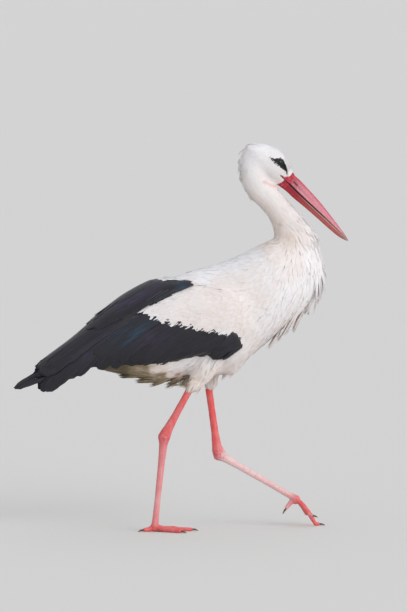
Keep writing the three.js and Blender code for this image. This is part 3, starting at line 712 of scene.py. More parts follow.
eyePlan = {
    "radius": (eyeHigh.x - eyeLow.x) / 2, "forward": 0.14, "up": 0.05,
    "opening": (48, 41), "corner": 0.12, "lidSteps": 56,
    # beyond the opening, in degrees, and how far out from the ball, in millimetres
    "lid": [(-7, -0.12), (0, 0.1), (3, 0.55), (8, 0.9), (14, 0.85), (21, 0.45), (30, -0.3), (42, -1.8)],
}


def eyeFrame(side):
    # the middle of the eye, and the directions out of the head, ahead and up
    middle = (np.array(eyeLow) + np.array(eyeHigh)) / 2 * (1, -side, 1)
    out = unit(np.array((eyePlan["forward"], side, eyePlan["up"])))
    ahead = unit(np.cross(np.cross(out, (billCos, 0, -billSin)), out))
    return middle, out, ahead, np.cross(ahead, out) * -side


def eyeRings(side, angles, reaches, turns):
    # rings round the eye, each at an angle from straight out and at a reach from its middle
    middle, out, ahead, up = eyeFrame(side)
    spoke = ahead * np.cos(turns)[:, None] + up * np.sin(turns)[:, None]
    angles, reaches = np.atleast_3d(angles), np.reshape(reaches, (-1, 1, 1))
    return middle + reaches * (out * np.cos(angles) + spoke * np.sin(angles))


def lidArrays(side):
    steps, (wide, high) = eyePlan["lidSteps"], eyePlan["opening"]
    turns = np.arange(steps) / steps * 2 * math.pi
    opening = 1 / np.sqrt((np.cos(turns) / wide) ** 2 + (np.sin(turns) / high) ** 2)
    opening = opening * (1 + eyePlan["corner"] * np.abs(np.cos(turns)) ** 12)
    beyond, proud = np.array(eyePlan["lid"]).T
    rings = eyeRings(side, np.radians(opening + beyond[:, None]), eyePlan["radius"] + proud * mm, turns)
    faces = gridFaces(len(rings), steps, True)
    return rings.reshape(-1, 3), faces[:, ::-side]


fleshPlan = {
    "steps": 90, "rows": 10, "crowded": 0.8, "onBill": 9.0, "lowest": -19.5, "highest": 17.6,
    "proud": (0.25, 0.12), "gapeAt": -4.6, "gapeHigh": 1.1, "corner": (-11.5, -6.5), "cornerShare": 0.16,
    "chin": 760,  # no flesh shows below this height
}


def fleshArrays(side):
    # the bare flesh between the edge of the feathers and the bill, and where shadow is painted on it
    plan = fleshPlan
    steps, rows = plan["steps"], plan["rows"]
    edge = evenCurve(featherEdge, np.linspace(0, 1, steps))
    onBill = edge * (0, 1) + (plan["onBill"], 0)
    onBill[:, 1] = np.clip(onBill[:, 1], plan["lowest"], plan["highest"])
    t = (np.linspace(0, 1, rows) ** plan["crowded"])[:, None, None]
    grid = edge * (1 - t) + onBill * t
    ahead, above = grid[..., 0], grid[..., 1]
    points = headPlace(ahead, above, 300.0 * side)
    reach = np.zeros((rows, steps))
    for r, c in np.ndindex(rows, steps):
        hit = faceTree.ray_cast(Vector(points[r, c]), Vector((0, -side, 0)))[0]
        reach[r, c] = abs(hit.y) if hit else 3 * mm
    proud = np.linspace(*plan["proud"], rows)[:, None] * mm
    points[..., 1] = side * (smoothedGrid(reach, 2) + proud)
    atGape = (np.abs(above - plan["gapeAt"]) < plan["gapeHigh"]) & (ahead < plan["onBill"] + 0.1)
    low, high = plan["corner"]
    atCorner = (above < high) & (above > low) & (t[..., 0] < plan["cornerShare"])
    return points.reshape(-1, 3), gridFaces(rows, steps)[:, ::side], (atGape | atCorner).ravel()


# how pale the shanks are, partly their own paleness and partly painted highlight: along the raised one,
# counted by x - z / 2, and up the standing one
shankPlan = {
    "raised": ([-60, -16, 12, 200, 235], [0.02, 0.2, 1.0, 0.85, 0.1]),
    "standing": ([5, 22, 60, 180, 205, 300], [0.12, 0.5, 0.62, 0.45, 0.2, 0.16]),
    "hockRed": 15 * mm,
}


def legMarks(points):
    # how pale, partly as painted highlight, and how red the legs are
    x, z = sideView(points).T
    paleAndHighlight = np.where(points[:, 1] > 0, np.interp(x - z * 0.5, *shankPlan["raised"]),
                    np.interp(z, *shankPlan["standing"]))
    hocks = [solidArrays["hock_" + side][0].mean(axis=0) for side in ("right", "left")]
    toHock = np.min([np.linalg.norm(points - hock, axis=1) for hock in hocks], axis=0)
    return paleAndHighlight, np.exp(-(toHock / shankPlan["hockRed"]) ** 2)


def skinPiece():
    lids = joined([lidArrays(-1), lidArrays(1)])
    *fleshRight, shadowRight = fleshArrays(-1)
    *fleshLeft, shadowLeft = fleshArrays(1)
    parts = [(bodyPoints, bodyFaces), (legPoints, legFaces), lids, joined([fleshRight, fleshLeft])]
    mesh = meshOf("skin", *joined(parts))
    black = [i for i, name in enumerate(solidNames) if slotOf[name] == "plumage_black"]
    paleAndHighlight, redHock = legMarks(legPoints)
    bare = faceBare(bodyPoints) & (sideView(bodyPoints)[:, 1] > fleshPlan["chin"])
    # leg, pale (partly painted highlight), dark (painted shadow on the flesh) and red, for the body, the
    # legs, the lids and the flesh in turn
    marks = [(0, 0, np.isin(bodyOwners, black) | faceDark(bodyPoints), bare),
             (1, paleAndHighlight, 0, redHock), (0, 0, 1, 0), (0, 0, np.concatenate([shadowRight, shadowLeft]), 1)]
    each = [len(points) for points, _ in parts]
    addMarks(mesh, *[np.concatenate([np.broadcast_to(mark, count) for mark, count in zip(column, each)])
                     for column in zip(*marks)])
    return pieceOf("skin", mesh, skinFinish(), bodyNames + legNames)


def bakeMap(piece):
    # lays out the map that is baked, and gives each corner's place on it
    bpy.context.view_layer.objects.active = piece
    piece.select_set(True)
    bpy.ops.object.mode_set(mode="EDIT")
    bpy.ops.mesh.select_all(action="SELECT")
    bpy.ops.uv.smart_project(angle_limit=math.radians(66), island_margin=0.002)
    bpy.ops.object.mode_set(mode="OBJECT")
    piece.data.uv_layers.active.name = "OFBake"
    return readOut(piece.data.uv_layers.active.data, "uv", 2).reshape(-1, 4, 2)


halves = [mandible(key)[:2] for key in ("upper", "lower")]
faceTree = surfaceTree(*joined([(bodyPoints, bodyFaces)] + halves))
cornerUv = bakeMap(skinPiece())
print("stork: skin unwrapped")


def onSkin(points):
    places, face = nearestOn(bodyTree, points)
    return places, faceNormals[face]


scatter = {"tries": 2.2, "apart": 0.8}  # of the plan's spacing


def scatterRoots(wanted, crowding):
    # places on the skin's faces, thinned so that no two are too near each other
    picked = np.flatnonzero(wanted)
    corners = bodyPoints[bodyFaces[picked]]
    area = np.linalg.norm(np.cross(corners[:, 2] - corners[:, 0], corners[:, 3] - corners[:, 1]), axis=1) / 2
    coat = coatAt(corners.mean(axis=1))
    spacing = crowding * np.sqrt(coat["length"] * coat["width"])
    face = np.repeat(np.arange(len(picked)), chance.poisson(area / spacing ** 2 * scatter["tries"]))
    face = chance.permutation(face)
    u, v = chance.random((2, len(face)))
    weights = np.stack([(1 - u) * (1 - v), u * (1 - v), u * v, (1 - u) * v], axis=1)[:, :, None]
    roots = (corners[face] * weights).sum(axis=1)
    rootUv = (cornerUv[picked[face]] * weights).sum(axis=1)
    tree = placeTree(roots)
    kept = np.ones(len(roots), dtype=bool)
    reach = spacing[face] * scatter["apart"]
    for i in range(len(roots)):
        if kept[i]:
            for _, j, _ in tree.find_range(Vector(roots[i]), reach[i]):
                if j > i:
                    kept[j] = False
    return roots[kept], rootUv[kept]


# where the feathers stand fuller: the middle of each place, its reach and how much, in millimetres
fuller = [((118, 846), 28, 3.4), ((236, 818), 22, 1.6), ((160, 868), 20, 0.8), ((226, 752), 26, 3.0),
          ((248, 722), 30, 4.5), ((274, 690), 28, 3.5)]


def swellAt(points):
    flat, total = sideView(points), np.zeros(len(points))
    for middle, reach, much in fuller:
        apart = np.linalg.norm(flat - middle, axis=1) / reach
        total = np.maximum(total, much * mm * np.clip(1.15 - apart, 0, 1))
    return total


# along the feather, its width and how far it has risen; then shares of the plan's length, width and depth
smoothVane = {"along": (0, 0.25, 0.55, 0.82, 1.0), "profile": (0.35, 0.85, 1.0, 0.75, 0.15),
              "rise": (0, 0.5, 0.8, 0.95, 1.0), "long": 1.0, "wide": 0.95, "lift": 0.62, "uneven": 0.12,
              "sunk": 0.5, "stray": 0.07, "twist": 0.02, "camber": 0.03, "round": 0.10}
hairVane = {**smoothVane, "profile": (0.4, 0.9, 0.9, 0.6, 0.06), "round": 0.12, "twist": 0.03,
            "lift": 0.55, "uneven": 0.15}
coatShapes = {
    "coat_face": {**hairVane, "crowding": 0.37, "long": 0.62, "wide": 0.62, "lift": 0.5, "stray": 0.12},
    "coat_head": {**hairVane, "crowding": 0.347},
    "coat_neck": {**hairVane, "crowding": 0.278},
    "coat_body": {**smoothVane, "crowding": 0.312},
    "coat_breast": {**hairVane, "crowding": 0.266, "lift": 0.6, "stray": 0.06, "uneven": 0.2,
                    "profile": (0.4, 0.9, 0.95, 0.65, 0.05)},
    "coat_thighs": {**hairVane, "crowding": 0.289, "wide": 0.9, "lift": 0.7, "uneven": 0.3, "stray": 0.10},
    "coat_wings": {**smoothVane, "crowding": 0.312},
    "coat_wing_edges": {**hairVane, "crowding": 0.29, "long": 0.72, "wide": 0.27, "lift": 0.85,
                        "uneven": 0.24, "stray": 0.11},
}


def growVanes(roots, shape):
    # each feather's spine steps along the coat's lie over the skin, and rises off it towards the tip
    coat, along = coatAt(roots), shape["along"]
    count, rows = len(roots), len(along)
    long = coat["length"] * shape["long"] * chance.uniform(0.85, 1.15, count)
    wide = coat["width"] * shape["wide"] * chance.uniform(0.85, 1.15, count)
    stray = chance.normal(0, shape["stray"], count)
    lift = coat["depth"] * shape["lift"] * (1 + shape["uneven"] * chance.uniform(-1, 1, count))
    lift = lift + swellAt(roots)
    here, spine, ups, acrosses = roots, [], [], []
    for k in range(rows):
        here, normal = onSkin(here)
        lie = coatAt(here)["lie"]
        heading = unit(lie - normal * (lie * normal).sum(axis=1, keepdims=True))
        heading = unit(heading + unit(np.cross(normal, heading)) * stray[:, None])
        rise = lift * shape["rise"][k] - shape["sunk"] * mm * (k == 0)
        spine.append(here + normal * rise[:, None])
        ups.append(normal)
        acrosses.append(unit(np.cross(normal, heading)))
        if k < rows - 1:
            here = here + heading * (long * (along[k + 1] - along[k]))[:, None]
    twist = chance.normal(0, shape["twist"], count)[:, None]
    points, normals, vaneUv, share = [], [], [], []
    for k in range(rows):
        across = unit(acrosses[k] + ups[k] * twist)
        width = (wide * shape["profile"][k])[:, None]
        for v in (-1, 0, 1):
            points.append(spine[k] + across * (width / 2) * v - ups[k] * (width * shape["camber"]) * abs(v))
            normals.append(unit(ups[k] + across * v * shape["round"]))
            share.append(np.tile([v / 2, along[k] - 0.5], (count, 1)))
            vaneUv.append(np.stack([np.full(count, 0.5 + v / 2), along[k] * long / barbRun], axis=1))
    faces = gridFaces(rows, 3)[:, [0, 3, 2, 1]] + np.arange(count)[:, None, None] * rows * 3
    parts = [np.stack(part, axis=1).reshape(count * rows * 3, -1)
             for part in (points, normals, vaneUv, share)]
    return faces.reshape(-1, 4), *parts


bakePatch = 0.003  # how large a feather's patch is on the map that is baked
barbRun = 0.01  # metres along a feather to one unit of its own map
# the pink line where the cheek's feathers end above the throat, and how far aside it starts
blush = {"line": [(176, 792), (184, 786), (194, 780.5), (205, 776.5)], "reach": 4.6, "strength": 0.8,
         "aside": 6 * mm}


def blushAt(points):
    line = evenCurve(blush["line"], np.linspace(0, 1, 40))
    apart = np.sqrt(((sideView(points)[:, None] - line[None]) ** 2).sum(axis=2)).min(axis=1)
    pink = np.clip(1.15 - apart / blush["reach"], 0, 1) ** 2 * blush["strength"]
    return pink * (np.abs(points[:, 1]) > blush["aside"])


def coatPiece(name, wanted, shape):
    roots, rootUv = scatterRoots(wanted, shape["crowding"])
    black = np.zeros(len(roots), dtype=bool)
    if name in ("coat_face", "coat_head"):
        kept = ~faceBare(roots, 0.8)
        roots, rootUv = roots[kept], rootUv[kept]
        black = faceDark(roots)
    faces, points, normals, vaneUv, share = growVanes(roots, shape)
    mesh, each = meshOf(name, points, faces), len(points) // len(roots)
    black, luck, pink = (np.repeat(mark, each) for mark in (black, chance.random(len(roots)), blushAt(roots)))
    addMarks(mesh, black, coatAt(points)["creamAndShade"], luck, pink)
    addUv(mesh, "OFBake", np.repeat(rootUv, each, axis=0) + share * bakePatch)
    addUv(mesh, "vane", vaneUv)
    mesh.normals_split_custom_set_from_vertices(normals.tolist())
    pieceOf(name, mesh, whitePlumage)
    print("stork:", name, len(roots), "feathers,", len(faces) * 2, "triangles")


def ownedBy(*starts):
    return np.isin(faceOwners, [i for i, name in enumerate(solidNames) if name.startswith(starts)])


# the lower edge of the white coverts, which way they run down to it, and where the wing begins
whiteEdge = {"x": (-134, -126, -62, 4, 77, 116, 132), "z": (512, 503, 471, 458, 443, 434, 412),
             "back": 0.94, "down": 0.36, "begins": 140}


def aboveEdge(long):
    # how far above the edge a feather of this length would end
    x, z = faceFlat[:, 0] - long * whiteEdge["back"], faceFlat[:, 1] - long * whiteEdge["down"]
    over = z - np.interp(x, whiteEdge["x"], whiteEdge["z"])
    return np.where(faceFlat[:, 0] < whiteEdge["begins"], over, np.inf)


# where one coat gives way to the next, in millimetres: from the middle of the eye, in side view, from
# the black feathers, and how long the coverts' feathers are taken to be
partings = {
    "eye": 10.2, "face": 36, "faceFrom": 186, "breastFrom": 175, "breastSlope": 0.55, "breastTop": 470,
    "bodyToBlack": 4, "wingToBlack": 7, "edgeToBlack": (3.5, 20), "edgeFrom": 440, "edgeSpare": 0.5,
    "wingLong": 25, "edgeLong": 18,
}


print("stork: growing feathers")
faceMiddles = bodyPoints[bodyFaces].mean(axis=1)
faceOwners = bodyOwners[bodyFaces[:, 0]]
faceFlat = sideView(faceMiddles)
whitePlumage = plumageFinish("white_plumage", 0.78)

onHead, onNeck, onTrunk = ownedBy("head"), ownedBy("neck"), ownedBy("trunk", "tail")
onCoverts = ownedBy("wing_coverts")
onBlack = ownedBy("wing_alula", "wing_scapulars", "wing_secondaries", "wing_tertials")
isBreast = faceFlat[:, 1] - faceFlat[:, 0] * partings["breastSlope"] < partings["breastTop"]
isBreast = isBreast & onTrunk & (faceFlat[:, 0] > partings["breastFrom"])
toEye = np.min([np.linalg.norm(faceMiddles - eyeFrame(side)[0], axis=1) for side in (-1, 1)], axis=0) / mm
isFace = onHead & (toEye < partings["face"]) & (faceFlat[:, 0] > partings["faceFrom"])
blackTree = placeTree(faceMiddles[onBlack])
toBlack = np.array([blackTree.find(Vector(middle))[2] for middle in faceMiddles]) / mm
nearest, farthest = partings["edgeToBlack"]
onEdge = (onCoverts | onTrunk) & (toBlack < farthest) & (toBlack > nearest)
onEdge = onEdge & (aboveEdge(partings["edgeLong"]) > partings["edgeSpare"])
coatPlaces = {
    "coat_face": isFace & (toEye > partings["eye"]),
    "coat_head": onHead & ~isFace,
    "coat_neck": onNeck,
    "coat_body": onTrunk & ~isBreast & (toBlack > partings["bodyToBlack"]),
    "coat_breast": isBreast,
    "coat_thighs": ownedBy("thigh", "tibia"),
    "coat_wings": onCoverts & (toBlack > partings["wingToBlack"]) & (aboveEdge(partings["wingLong"]) > 0),
    "coat_wing_edges": onEdge & (faceFlat[:, 1] > partings["edgeFrom"]),
}
for name, wanted in coatPlaces.items():
    coatPiece(name, wanted, coatShapes[name])

# long loose plumes, solid strands that gather to points
plumeSets = {
    # seen from the side: where the tips are, which way they point in degrees, how long they are,
    # and their middle and reach across the bird
    "breast_plumes": {
        "rows": [
            ((307, 646), 304, 44, 0, 12), ((330, 570), 290, 84, 0, 14), ((326, 543), 285, 86, 0, 24),
            ((317, 524), 277, 80, 0, 30), ((307, 511), 270, 78, 0, 34), ((299, 498), 267, 76, -3, 38),
            ((291, 482), 264, 76, -4, 40), ((284, 466), 261, 76, -5, 40), ((272, 458), 257, 72, -6, 40),
            ((262, 449), 253, 72, -7, 39), ((249, 446), 248, 68, -8, 36), ((237, 442), 244, 66, -8, 34),
            ((222, 434), 238, 60, -8, 30), ((203, 419), 232, 56, -8, 26), ((184, 404), 228, 50, -8, 20),
        ],
        "between": 9, "strands": 9, "width": 4.4, "spread": 4.6, "gather": 0.9, "sink": 0.25,
    },
    "crown_tuft": {
        "rows": [((135, 867.5), 194, 20, 0, 14), ((143, 869.5), 190, 16, 0, 12), ((117, 842), 248, 18, 0, 12),
                 ((115.5, 822), 262, 18, 0, 10), ((118, 800), 276, 20, 0, 9), ((124, 780), 292, 20, 0, 8),
                 ((136, 760), 302, 22, 0, 8), ((150, 738), 306, 22, 0, 8)],
        "between": 4, "strands": 4, "width": 2.0, "spread": 2.2, "gather": 0.6, "sink": 0.2,
    },
    "belly_tufts": {
        "rows": [((96, 340), 246, 42, 0, 20), ((86, 343), 240, 36, 0, 20), ((106, 350), 236, 42, 0, 20),
                 ((2, 340), 214, 28, 0, 36), ((-8, 335), 212, 32, 0, 36), ((-22, 326), 200, 38, 0, 34),
                 ((-50, 322), 193, 38, 0, 34),
                 ((-84, 327), 187, 40, 0, 34), ((-118, 335), 181, 42, 0, 30), ((-158, 348), 176, 42, 0, 26)],
        "between": 8, "strands": 7, "width": 4.0, "spread": 4.6, "gather": 2.6, "sink": 0.25,
    },
    "thigh_fringe": {
        "rows": [((-6, 321), 232, 26, -36, 9), ((6, 313), 238, 30, -36, 10), ((17, 307), 240, 32, -36, 10),
                 ((24, 318), 242, 30, -36, 9), ((50, 318), 268, 28, 35, 9), ((62, 310), 272, 30, 35, 9),
                 ((74, 316), 276, 30, 35, 9), ((88, 332), 250, 34, 28, 16), ((68, 326), 262, 30, 22, 14),
                 ((22, 346), 240, 36, -40, 16), ((4, 338), 236, 36, -40, 16),
                 ((36, 330), 242, 34, -40, 14), ((46, 362), 244, 36, -42, 18), ((20, 368), 236, 36, -42, 18)],
        "between": 4.5, "strands": 6, "width": 2.8, "spread": 2.2, "gather": 1.0, "sink": 0.2,
    },
}
plumeShape = {
    "profile": (0.3, 0.75, 0.95, 1.0, 1.0, 0.9, 0.72, 0.5, 0.28, 0.06), "thick": 0.42, "round": 0.7,
    "under": 0.9,
    # millimetres: how unevenly the clumps stand, how far along they reach, and the same for the middle clump
    "stagger": 1.5, "ends": (-6, 2), "middleEnds": (-1, 3), "least": 2,
    # shares of a clump's length: its own chance, how far back its strands may lie, how much of that counts
    # at tip and root, and where a strand bends down to its tip
    "long": (0.85, 1.15), "back": 0.35, "tipBack": 0.6, "rootBack": 0.3, "bend": 0.45,
    # how much of the coat's depth lies under a strand, how much less the clumps at the sides stand out,
    # and the chance in a strand's width
    "heldUp": 0.6, "flatter": 0.2, "wide": (0.75, 1.25),
}


def plumeTip(place, least):
    # a place off the skin, no farther out than the plan's middle plume
    near, normal = onSkin(place[None])
    out = place - near[0]
    if out @ normal[0] <= 0:
        return near[0] + normal[0] * plumeShape["least"] * mm
    return near[0] + unit(out) * min(np.linalg.norm(out), max(least, plumeShape["least"] * mm))


def plumePaths(plan):
    # each strand's path from the skin to its tip, kept above the coat, and which way is up along it
    look, along = plumeShape, np.linspace(0, 1, len(plumeShape["profile"]))[:, None]
    for (x, z), angle, long, middleY, reach in plan["rows"]:
        middle = np.array(drawn(x, z, middleY))
        free = np.linalg.norm(middle - onSkin(middle[None])[0][0])
        turn = math.radians(angle)
        pointing = np.array((math.cos(turn), 0, math.sin(turn)))
        across = np.arange(-reach, reach + 0.1, plan["between"])
        across = across + chance.uniform(-0.5, 0.5) * plan["between"]
        across = across + chance.normal(0, look["stagger"], len(across))
        centre = np.abs(across).argmin()
        across[centre] = chance.normal(0, 1)
        for k, y in enumerate(across):
            ends = look["middleEnds"] if k == centre else look["ends"]
            place = middle + (0, y * mm, 0) + pointing * chance.uniform(*ends) * mm
            end = plumeTip(place, free * (1 - look["flatter"] * (y / reach) ** 2))
            length = long * mm * chance.uniform(*look["long"])
            for _ in range(plan["strands"]):
                back = chance.uniform(0, look["back"])
                tip = end - pointing * length * back * look["tipBack"]
                tip = tip + chance.normal(0, plan["gather"], 3) * mm
                start = tip - pointing * length * (1 - back * look["rootBack"])
                start = start + np.array((0, chance.normal(0, plan["spread"]) * mm, 0))
                start = onSkin(start[None])[0]
                bend = tip - pointing * length * look["bend"]
                path = start * (1 - along) ** 2 + bend * 2 * along * (1 - along) + tip * along ** 2
                below, ups = onSkin(path)
                clear = ((path - below) * ups).sum(axis=1, keepdims=True)
                depth, sink = coatAt(path)["depth"][:, None] * look["heldUp"], plan["sink"] * mm
                least = (depth + sink) * np.minimum(along * 4, 1) - sink * (along < 0.1)
                yield path + ups * np.maximum(least - clear, 0), ups


def plumePiece(name, plan):
    strands, look = list(plumePaths(plan)), plumeShape
    profile = np.array(look["profile"])
    rows, count = len(profile), len(strands)
    ring = np.array([(-1, 0), (0, -1), (1, 0), (0, 1)])
    sides, heights = ring[None, :, :1], ring[None, :, 1:]
    points, outer, edges, raised = [], [], [], []
    for path, ups in strands:
        heading = unit(np.gradient(path, axis=0))
        across = unit(np.cross(ups, heading))
        upward = np.cross(heading, across)[:, None]
        across = across[:, None]
        half = (profile * plan["width"] * chance.uniform(*look["wide"]) / 2 * mm)[:, None, None]
        points.append(path[:, None] + (across * sides + upward * heights * look["thick"]) * half)
        outer.append(unit((upward + across * sides * look["round"]).reshape(-1, 3)))
        edges.append(np.repeat(across[:, 0], 4, axis=0))
        raised.append(np.repeat(upward[:, 0], 4, axis=0))
    points = np.array(points).reshape(-1, 3)
    ends = [[0, 3, 2, 1]], [[0, 1, 2, 3]] + np.array((rows - 1) * 4)
    cells, each = np.concatenate([gridFaces(rows, 4, True), *ends]), rows * 4
    faces = (cells[None] + np.arange(count)[:, None, None] * each).reshape(-1, 4)
    mesh = meshOf(name, points, faces)
    addMarks(mesh, 0.0, coatAt(points)["creamAndShade"], np.repeat(chance.random(count), each))
    along = np.tile(np.repeat(np.arange(rows), 4), count)
    aside = np.tile(ring[:, 0] / 2, rows * count)
    rootUv = cornerUv[nearestOn(bodyTree, np.array([path[0] for path, _ in strands]))[1]].mean(axis=1)
    share = np.stack([aside, along / (rows - 1) - 0.5], axis=1)
    addUv(mesh, "OFBake", np.repeat(rootUv, each, axis=0) + share * bakePatch)
    addUv(mesh, "vane", np.stack([0.5 + aside, along * 0.9], axis=1))
    # the strand's two upper faces are shaded as rounded over, the two lower ones as its edges
    turned = np.tile([-1, 1, 0, 0] * (rows - 1) + [0, 0], count)[:, None, None]
    outer, edges, raised = (np.concatenate(part)[faces] for part in (outer, edges, raised))
    shading = np.where(turned == 0, outer, unit(edges * turned - raised * look["under"]))
    mesh.normals_split_custom_set(shading.reshape(-1, 3).tolist())
    pieceOf(name, mesh, whitePlumage)
    print("stork:", name, count, "strands,", len(faces) * 2, "triangles")


for setName, plan in plumeSets.items():
    plumePiece(setName, plan)

# flight feathers and great coverts are closed blades, each lying like a tile on the one outside it
quillSets = {
    # roots and tips from the outermost feather to the innermost, first and last widths, height above the
    # skin, how far the root is tucked in, how far the feather bows, and the painted sheen of some: hue and
    # strength
    "secondaries": {
        "count": 14, "layer": 0.9, "width": (24, 30), "tucked": 6, "bow": 5,
        "sheen": {11: (1, 0.5), 12: (1, 0.7)},
        "roots": [(108, 428), (92, 442), (52, 462), (0, 474), (-60, 488), (-104, 500), (-122, 506),
                  (-128, 508)],
        "tips": [(34, 401), (-16, 389), (-68, 374), (-136, 374), (-196, 367), (-249, 355), (-291, 334),
                 (-330, 310)],
    },
    "greatCoverts": {
        "count": 12, "layer": 1.4, "width": (20, 26), "tucked": 16, "bow": 4,
        "sheen": {6: (1, 0.3), 7: (1, 0.5), 8: (0, 0.75), 9: (0, 0.35), 10: (1, 0.5)},
        "roots": [(108, 440), (86, 450), (44, 464), (0, 478), (-46, 488), (-92, 500), (-126, 510)],
        "tips": [(44, 399), (-8, 389), (-70, 380), (-126, 380), (-180, 388), (-228, 400), (-262, 408)],
    },
    "tertials": {
        "count": 9, "layer": 3.4, "width": (30, 34), "tucked": 2, "bow": 6,
        "sheen": {1: (1, 0.5), 2: (0, 0.35), 4: (1, 0.4)},
        "roots": [(-126, 494), (-122, 502), (-108, 512), (-92, 524), (-74, 537), (-110, 532)],
        "tips": [(-266, 394), (-300, 372), (-332, 353), (-348, 351), (-349, 362), (-338, 372)],
    },
    "scapulars": {
        "count": 10, "layer": 4.6, "width": (22, 30), "tucked": 7, "bow": 5,
        "sheen": {0: (0, 0.9), 1: (0, 0.8), 2: (0, 0.4), 5: (1, 0.7), 6: (1, 0.8), 7: (1, 0.5)},
        "roots": [(16, 562), (8, 566), (-8, 568), (-26, 570), (-44, 572), (-58, 574)],
        "tips": [(-97, 516), (-140, 494), (-184, 472), (-228, 450), (-232, 462), (-214, 482)],
    },
    "alula": {
        "count": 6, "layer": 3.2, "width": (12, 15), "tucked": 3, "bow": 3, "sheen": {},
        "roots": [(122, 424), (120, 432), (114, 440), (106, 446), (98, 450)],
        "tips": [(72, 391), (48, 391), (42, 397), (56, 406), (70, 414)],
    },
}
quillShape = {
    "rows": 16, "columns": 7, "crowded": 0.85, "thick": 0.35, "tile": 0.7, "camber": 0.35, "shaft": 0.25,
    "tipShare": 0.14, "ragged": 0.03, "rooting": 0.16, "sunk": 2.4, "rootStray": 1.2, "tipStray": 1.8,
    # how the blade falls on what lies under it: searched from this height, this far, and how far it may drape
    "searchFrom": 30 * mm, "search": 45 * mm, "facing": 0.35, "drape": 7.0,
    "turnedAway": 0.45, "inward": 0.8, "widths": (0.94, 1.06),
    "plain": (0.5, 0.12), "sheenAt": 0.48, "sheenLong": 0.24,
}
quillAlong = np.linspace(0, 1, quillShape["rows"]) ** quillShape["crowded"]


def landed(x, z):
    # where a place drawn in side view lies on the right of the skin
    start = drawn(x, z, -300)
    place, _, face, _ = bodyTree.ray_cast(start, Vector((0, 1, 0)))
    if place is None:
        place, _, face, _ = bodyTree.find_nearest(drawn(x, z, -8))
    return np.array((start.x, place.y, start.z)), faceNormals[face]


def fallOnto(flat, normals, look):
    # how far each place of a flat blade falls to the skin; one beside the skin takes its neighbours' fall
    rows, columns = flat.shape[:2]
    fall = np.zeros((rows, columns))
    for r, normal in enumerate(normals):
        for c in range(columns):
            above = Vector(flat[r, c] + normal * look["searchFrom"])
            place, facing, _, far = bodyTree.ray_cast(above, Vector(-normal), look["search"])
            beside = place is None or facing.dot(Vector(normal)) < look["facing"]
            fall[r, c] = np.nan if beside else look["searchFrom"] - far
        known = np.flatnonzero(~np.isnan(fall[r]))
        if len(known):
            fall[r] = np.interp(np.arange(columns), known, fall[r][known])
        else:
            fall[r] = fall[r - 1] if r else 0
    limit = look["drape"] * mm
    return smoothedGrid(np.clip(fall, -limit, limit), 3)


def blade(spine, normals, width, layer, look=quillShape):
    rows, columns, along = look["rows"], look["columns"], quillAlong
    heading = unit(np.gradient(spine, axis=0))
    normals = unit(normals - heading * (normals * heading).sum(axis=1, keepdims=True))
    across = unit(np.cross(normals, heading))
    length = np.linalg.norm(np.diff(spine, axis=0), axis=1).sum()
    tip = np.clip((along - 1 + look["tipShare"]) / look["tipShare"], 0, 1)
    profile = np.minimum(0.45 + along * 4, 1) * np.sqrt(np.maximum(1 - tip ** 2.2, 0.012))
    v = np.linspace(-1, 1, columns)
    ragged = 1 + look["ragged"] * chance.normal(0, 1, (rows, columns)) * (np.abs(v) > 0.9)
    half = width / 2 * profile[:, None] * ragged
    flat = spine[:, None] + across[:, None] * (half * v)[..., None]
    tile = (v * 0.5 + 0.5) * look["tile"] * np.minimum(along * 3, 1)[:, None]
    emerging = np.clip(along / look["rooting"], 0, 1)[:, None]
    height = (layer + tile + look["sunk"]) * emerging - look["sunk"]
    height = height - look["camber"] * v ** 2 + look["shaft"] * (v == 0)
    top = flat + normals[:, None] * (fallOnto(flat, normals, look) + height * mm)[..., None]
    low = top - normals[:, None] * look["thick"] * mm
    grid, count = gridFaces(rows, columns)[:, ::-1], rows * columns
    ring = np.concatenate([np.arange(columns), np.arange(2 * columns - 1, count, columns),
                           np.arange(count - 2, count - columns - 1, -1),
                           np.arange(count - 2 * columns, 0, -columns)])
    after = np.roll(ring, -1)
    rim = np.stack([ring, after, after + count, ring + count], axis=1)
    share = np.stack(np.broadcast_arrays(v[None] * 0.5 + 0.5, along[:, None]), axis=-1).reshape(-1, 2)
    return {"points": np.concatenate([top.reshape(-1, 3), low.reshape(-1, 3)]),
            "faces": np.concatenate([grid, grid[:, ::-1] + count, rim]),
            "share": np.tile(share, (2, 1)), "length": length}


def quillsOf(plan):
    look, shares = quillShape, np.linspace(0, 1, plan["count"])
    roots, tips = evenCurve(plan["roots"], shares), evenCurve(plan["tips"], shares)
    for root, tip, share in zip(roots, tips, shares):
        root, tip = root + chance.normal(0, look["rootStray"], 2), tip + chance.normal(0, look["tipStray"], 2)
        root = root + unit(root - tip) * plan["tucked"]
        line = root + (tip - root) * quillAlong[:, None]
        side = np.array((tip[1] - root[1], root[0] - tip[0])) / np.linalg.norm(tip - root)
        line = line + side * (plan["bow"] * 4 * quillAlong * (1 - quillAlong))[:, None]
        spine, normals = (np.array(part) for part in zip(*[landed(x, z) for x, z in line]))
        away = unit(np.array((tip[0] - root[0], 0, tip[1] - root[1])))
        last = np.flatnonzero(normals @ away < look["turnedAway"]).max()
        # past the end of the body a quill runs straight on
        drift = np.clip(spine[last, 1] - spine[last - 1, 1], 0, look["inward"] * mm)
        spine[last + 1:, 1] = spine[last, 1] + np.arange(1, look["rows"] - last) * drift
        normals[last + 1:] = normals[last]
        spine, normals = smoothedRows(spine, 4), unit(smoothedRows(normals, 6))
        width = plan["width"][0] + (plan["width"][1] - plan["width"][0]) * share
        made = blade(spine, normals, width * chance.uniform(*look["widths"]) * mm, plan["layer"])
        hue, sheen = plan["sheen"].get(round(share * (plan["count"] - 1)), look["plain"])
        yield {**made, "hue": hue, "sheen": sheen}


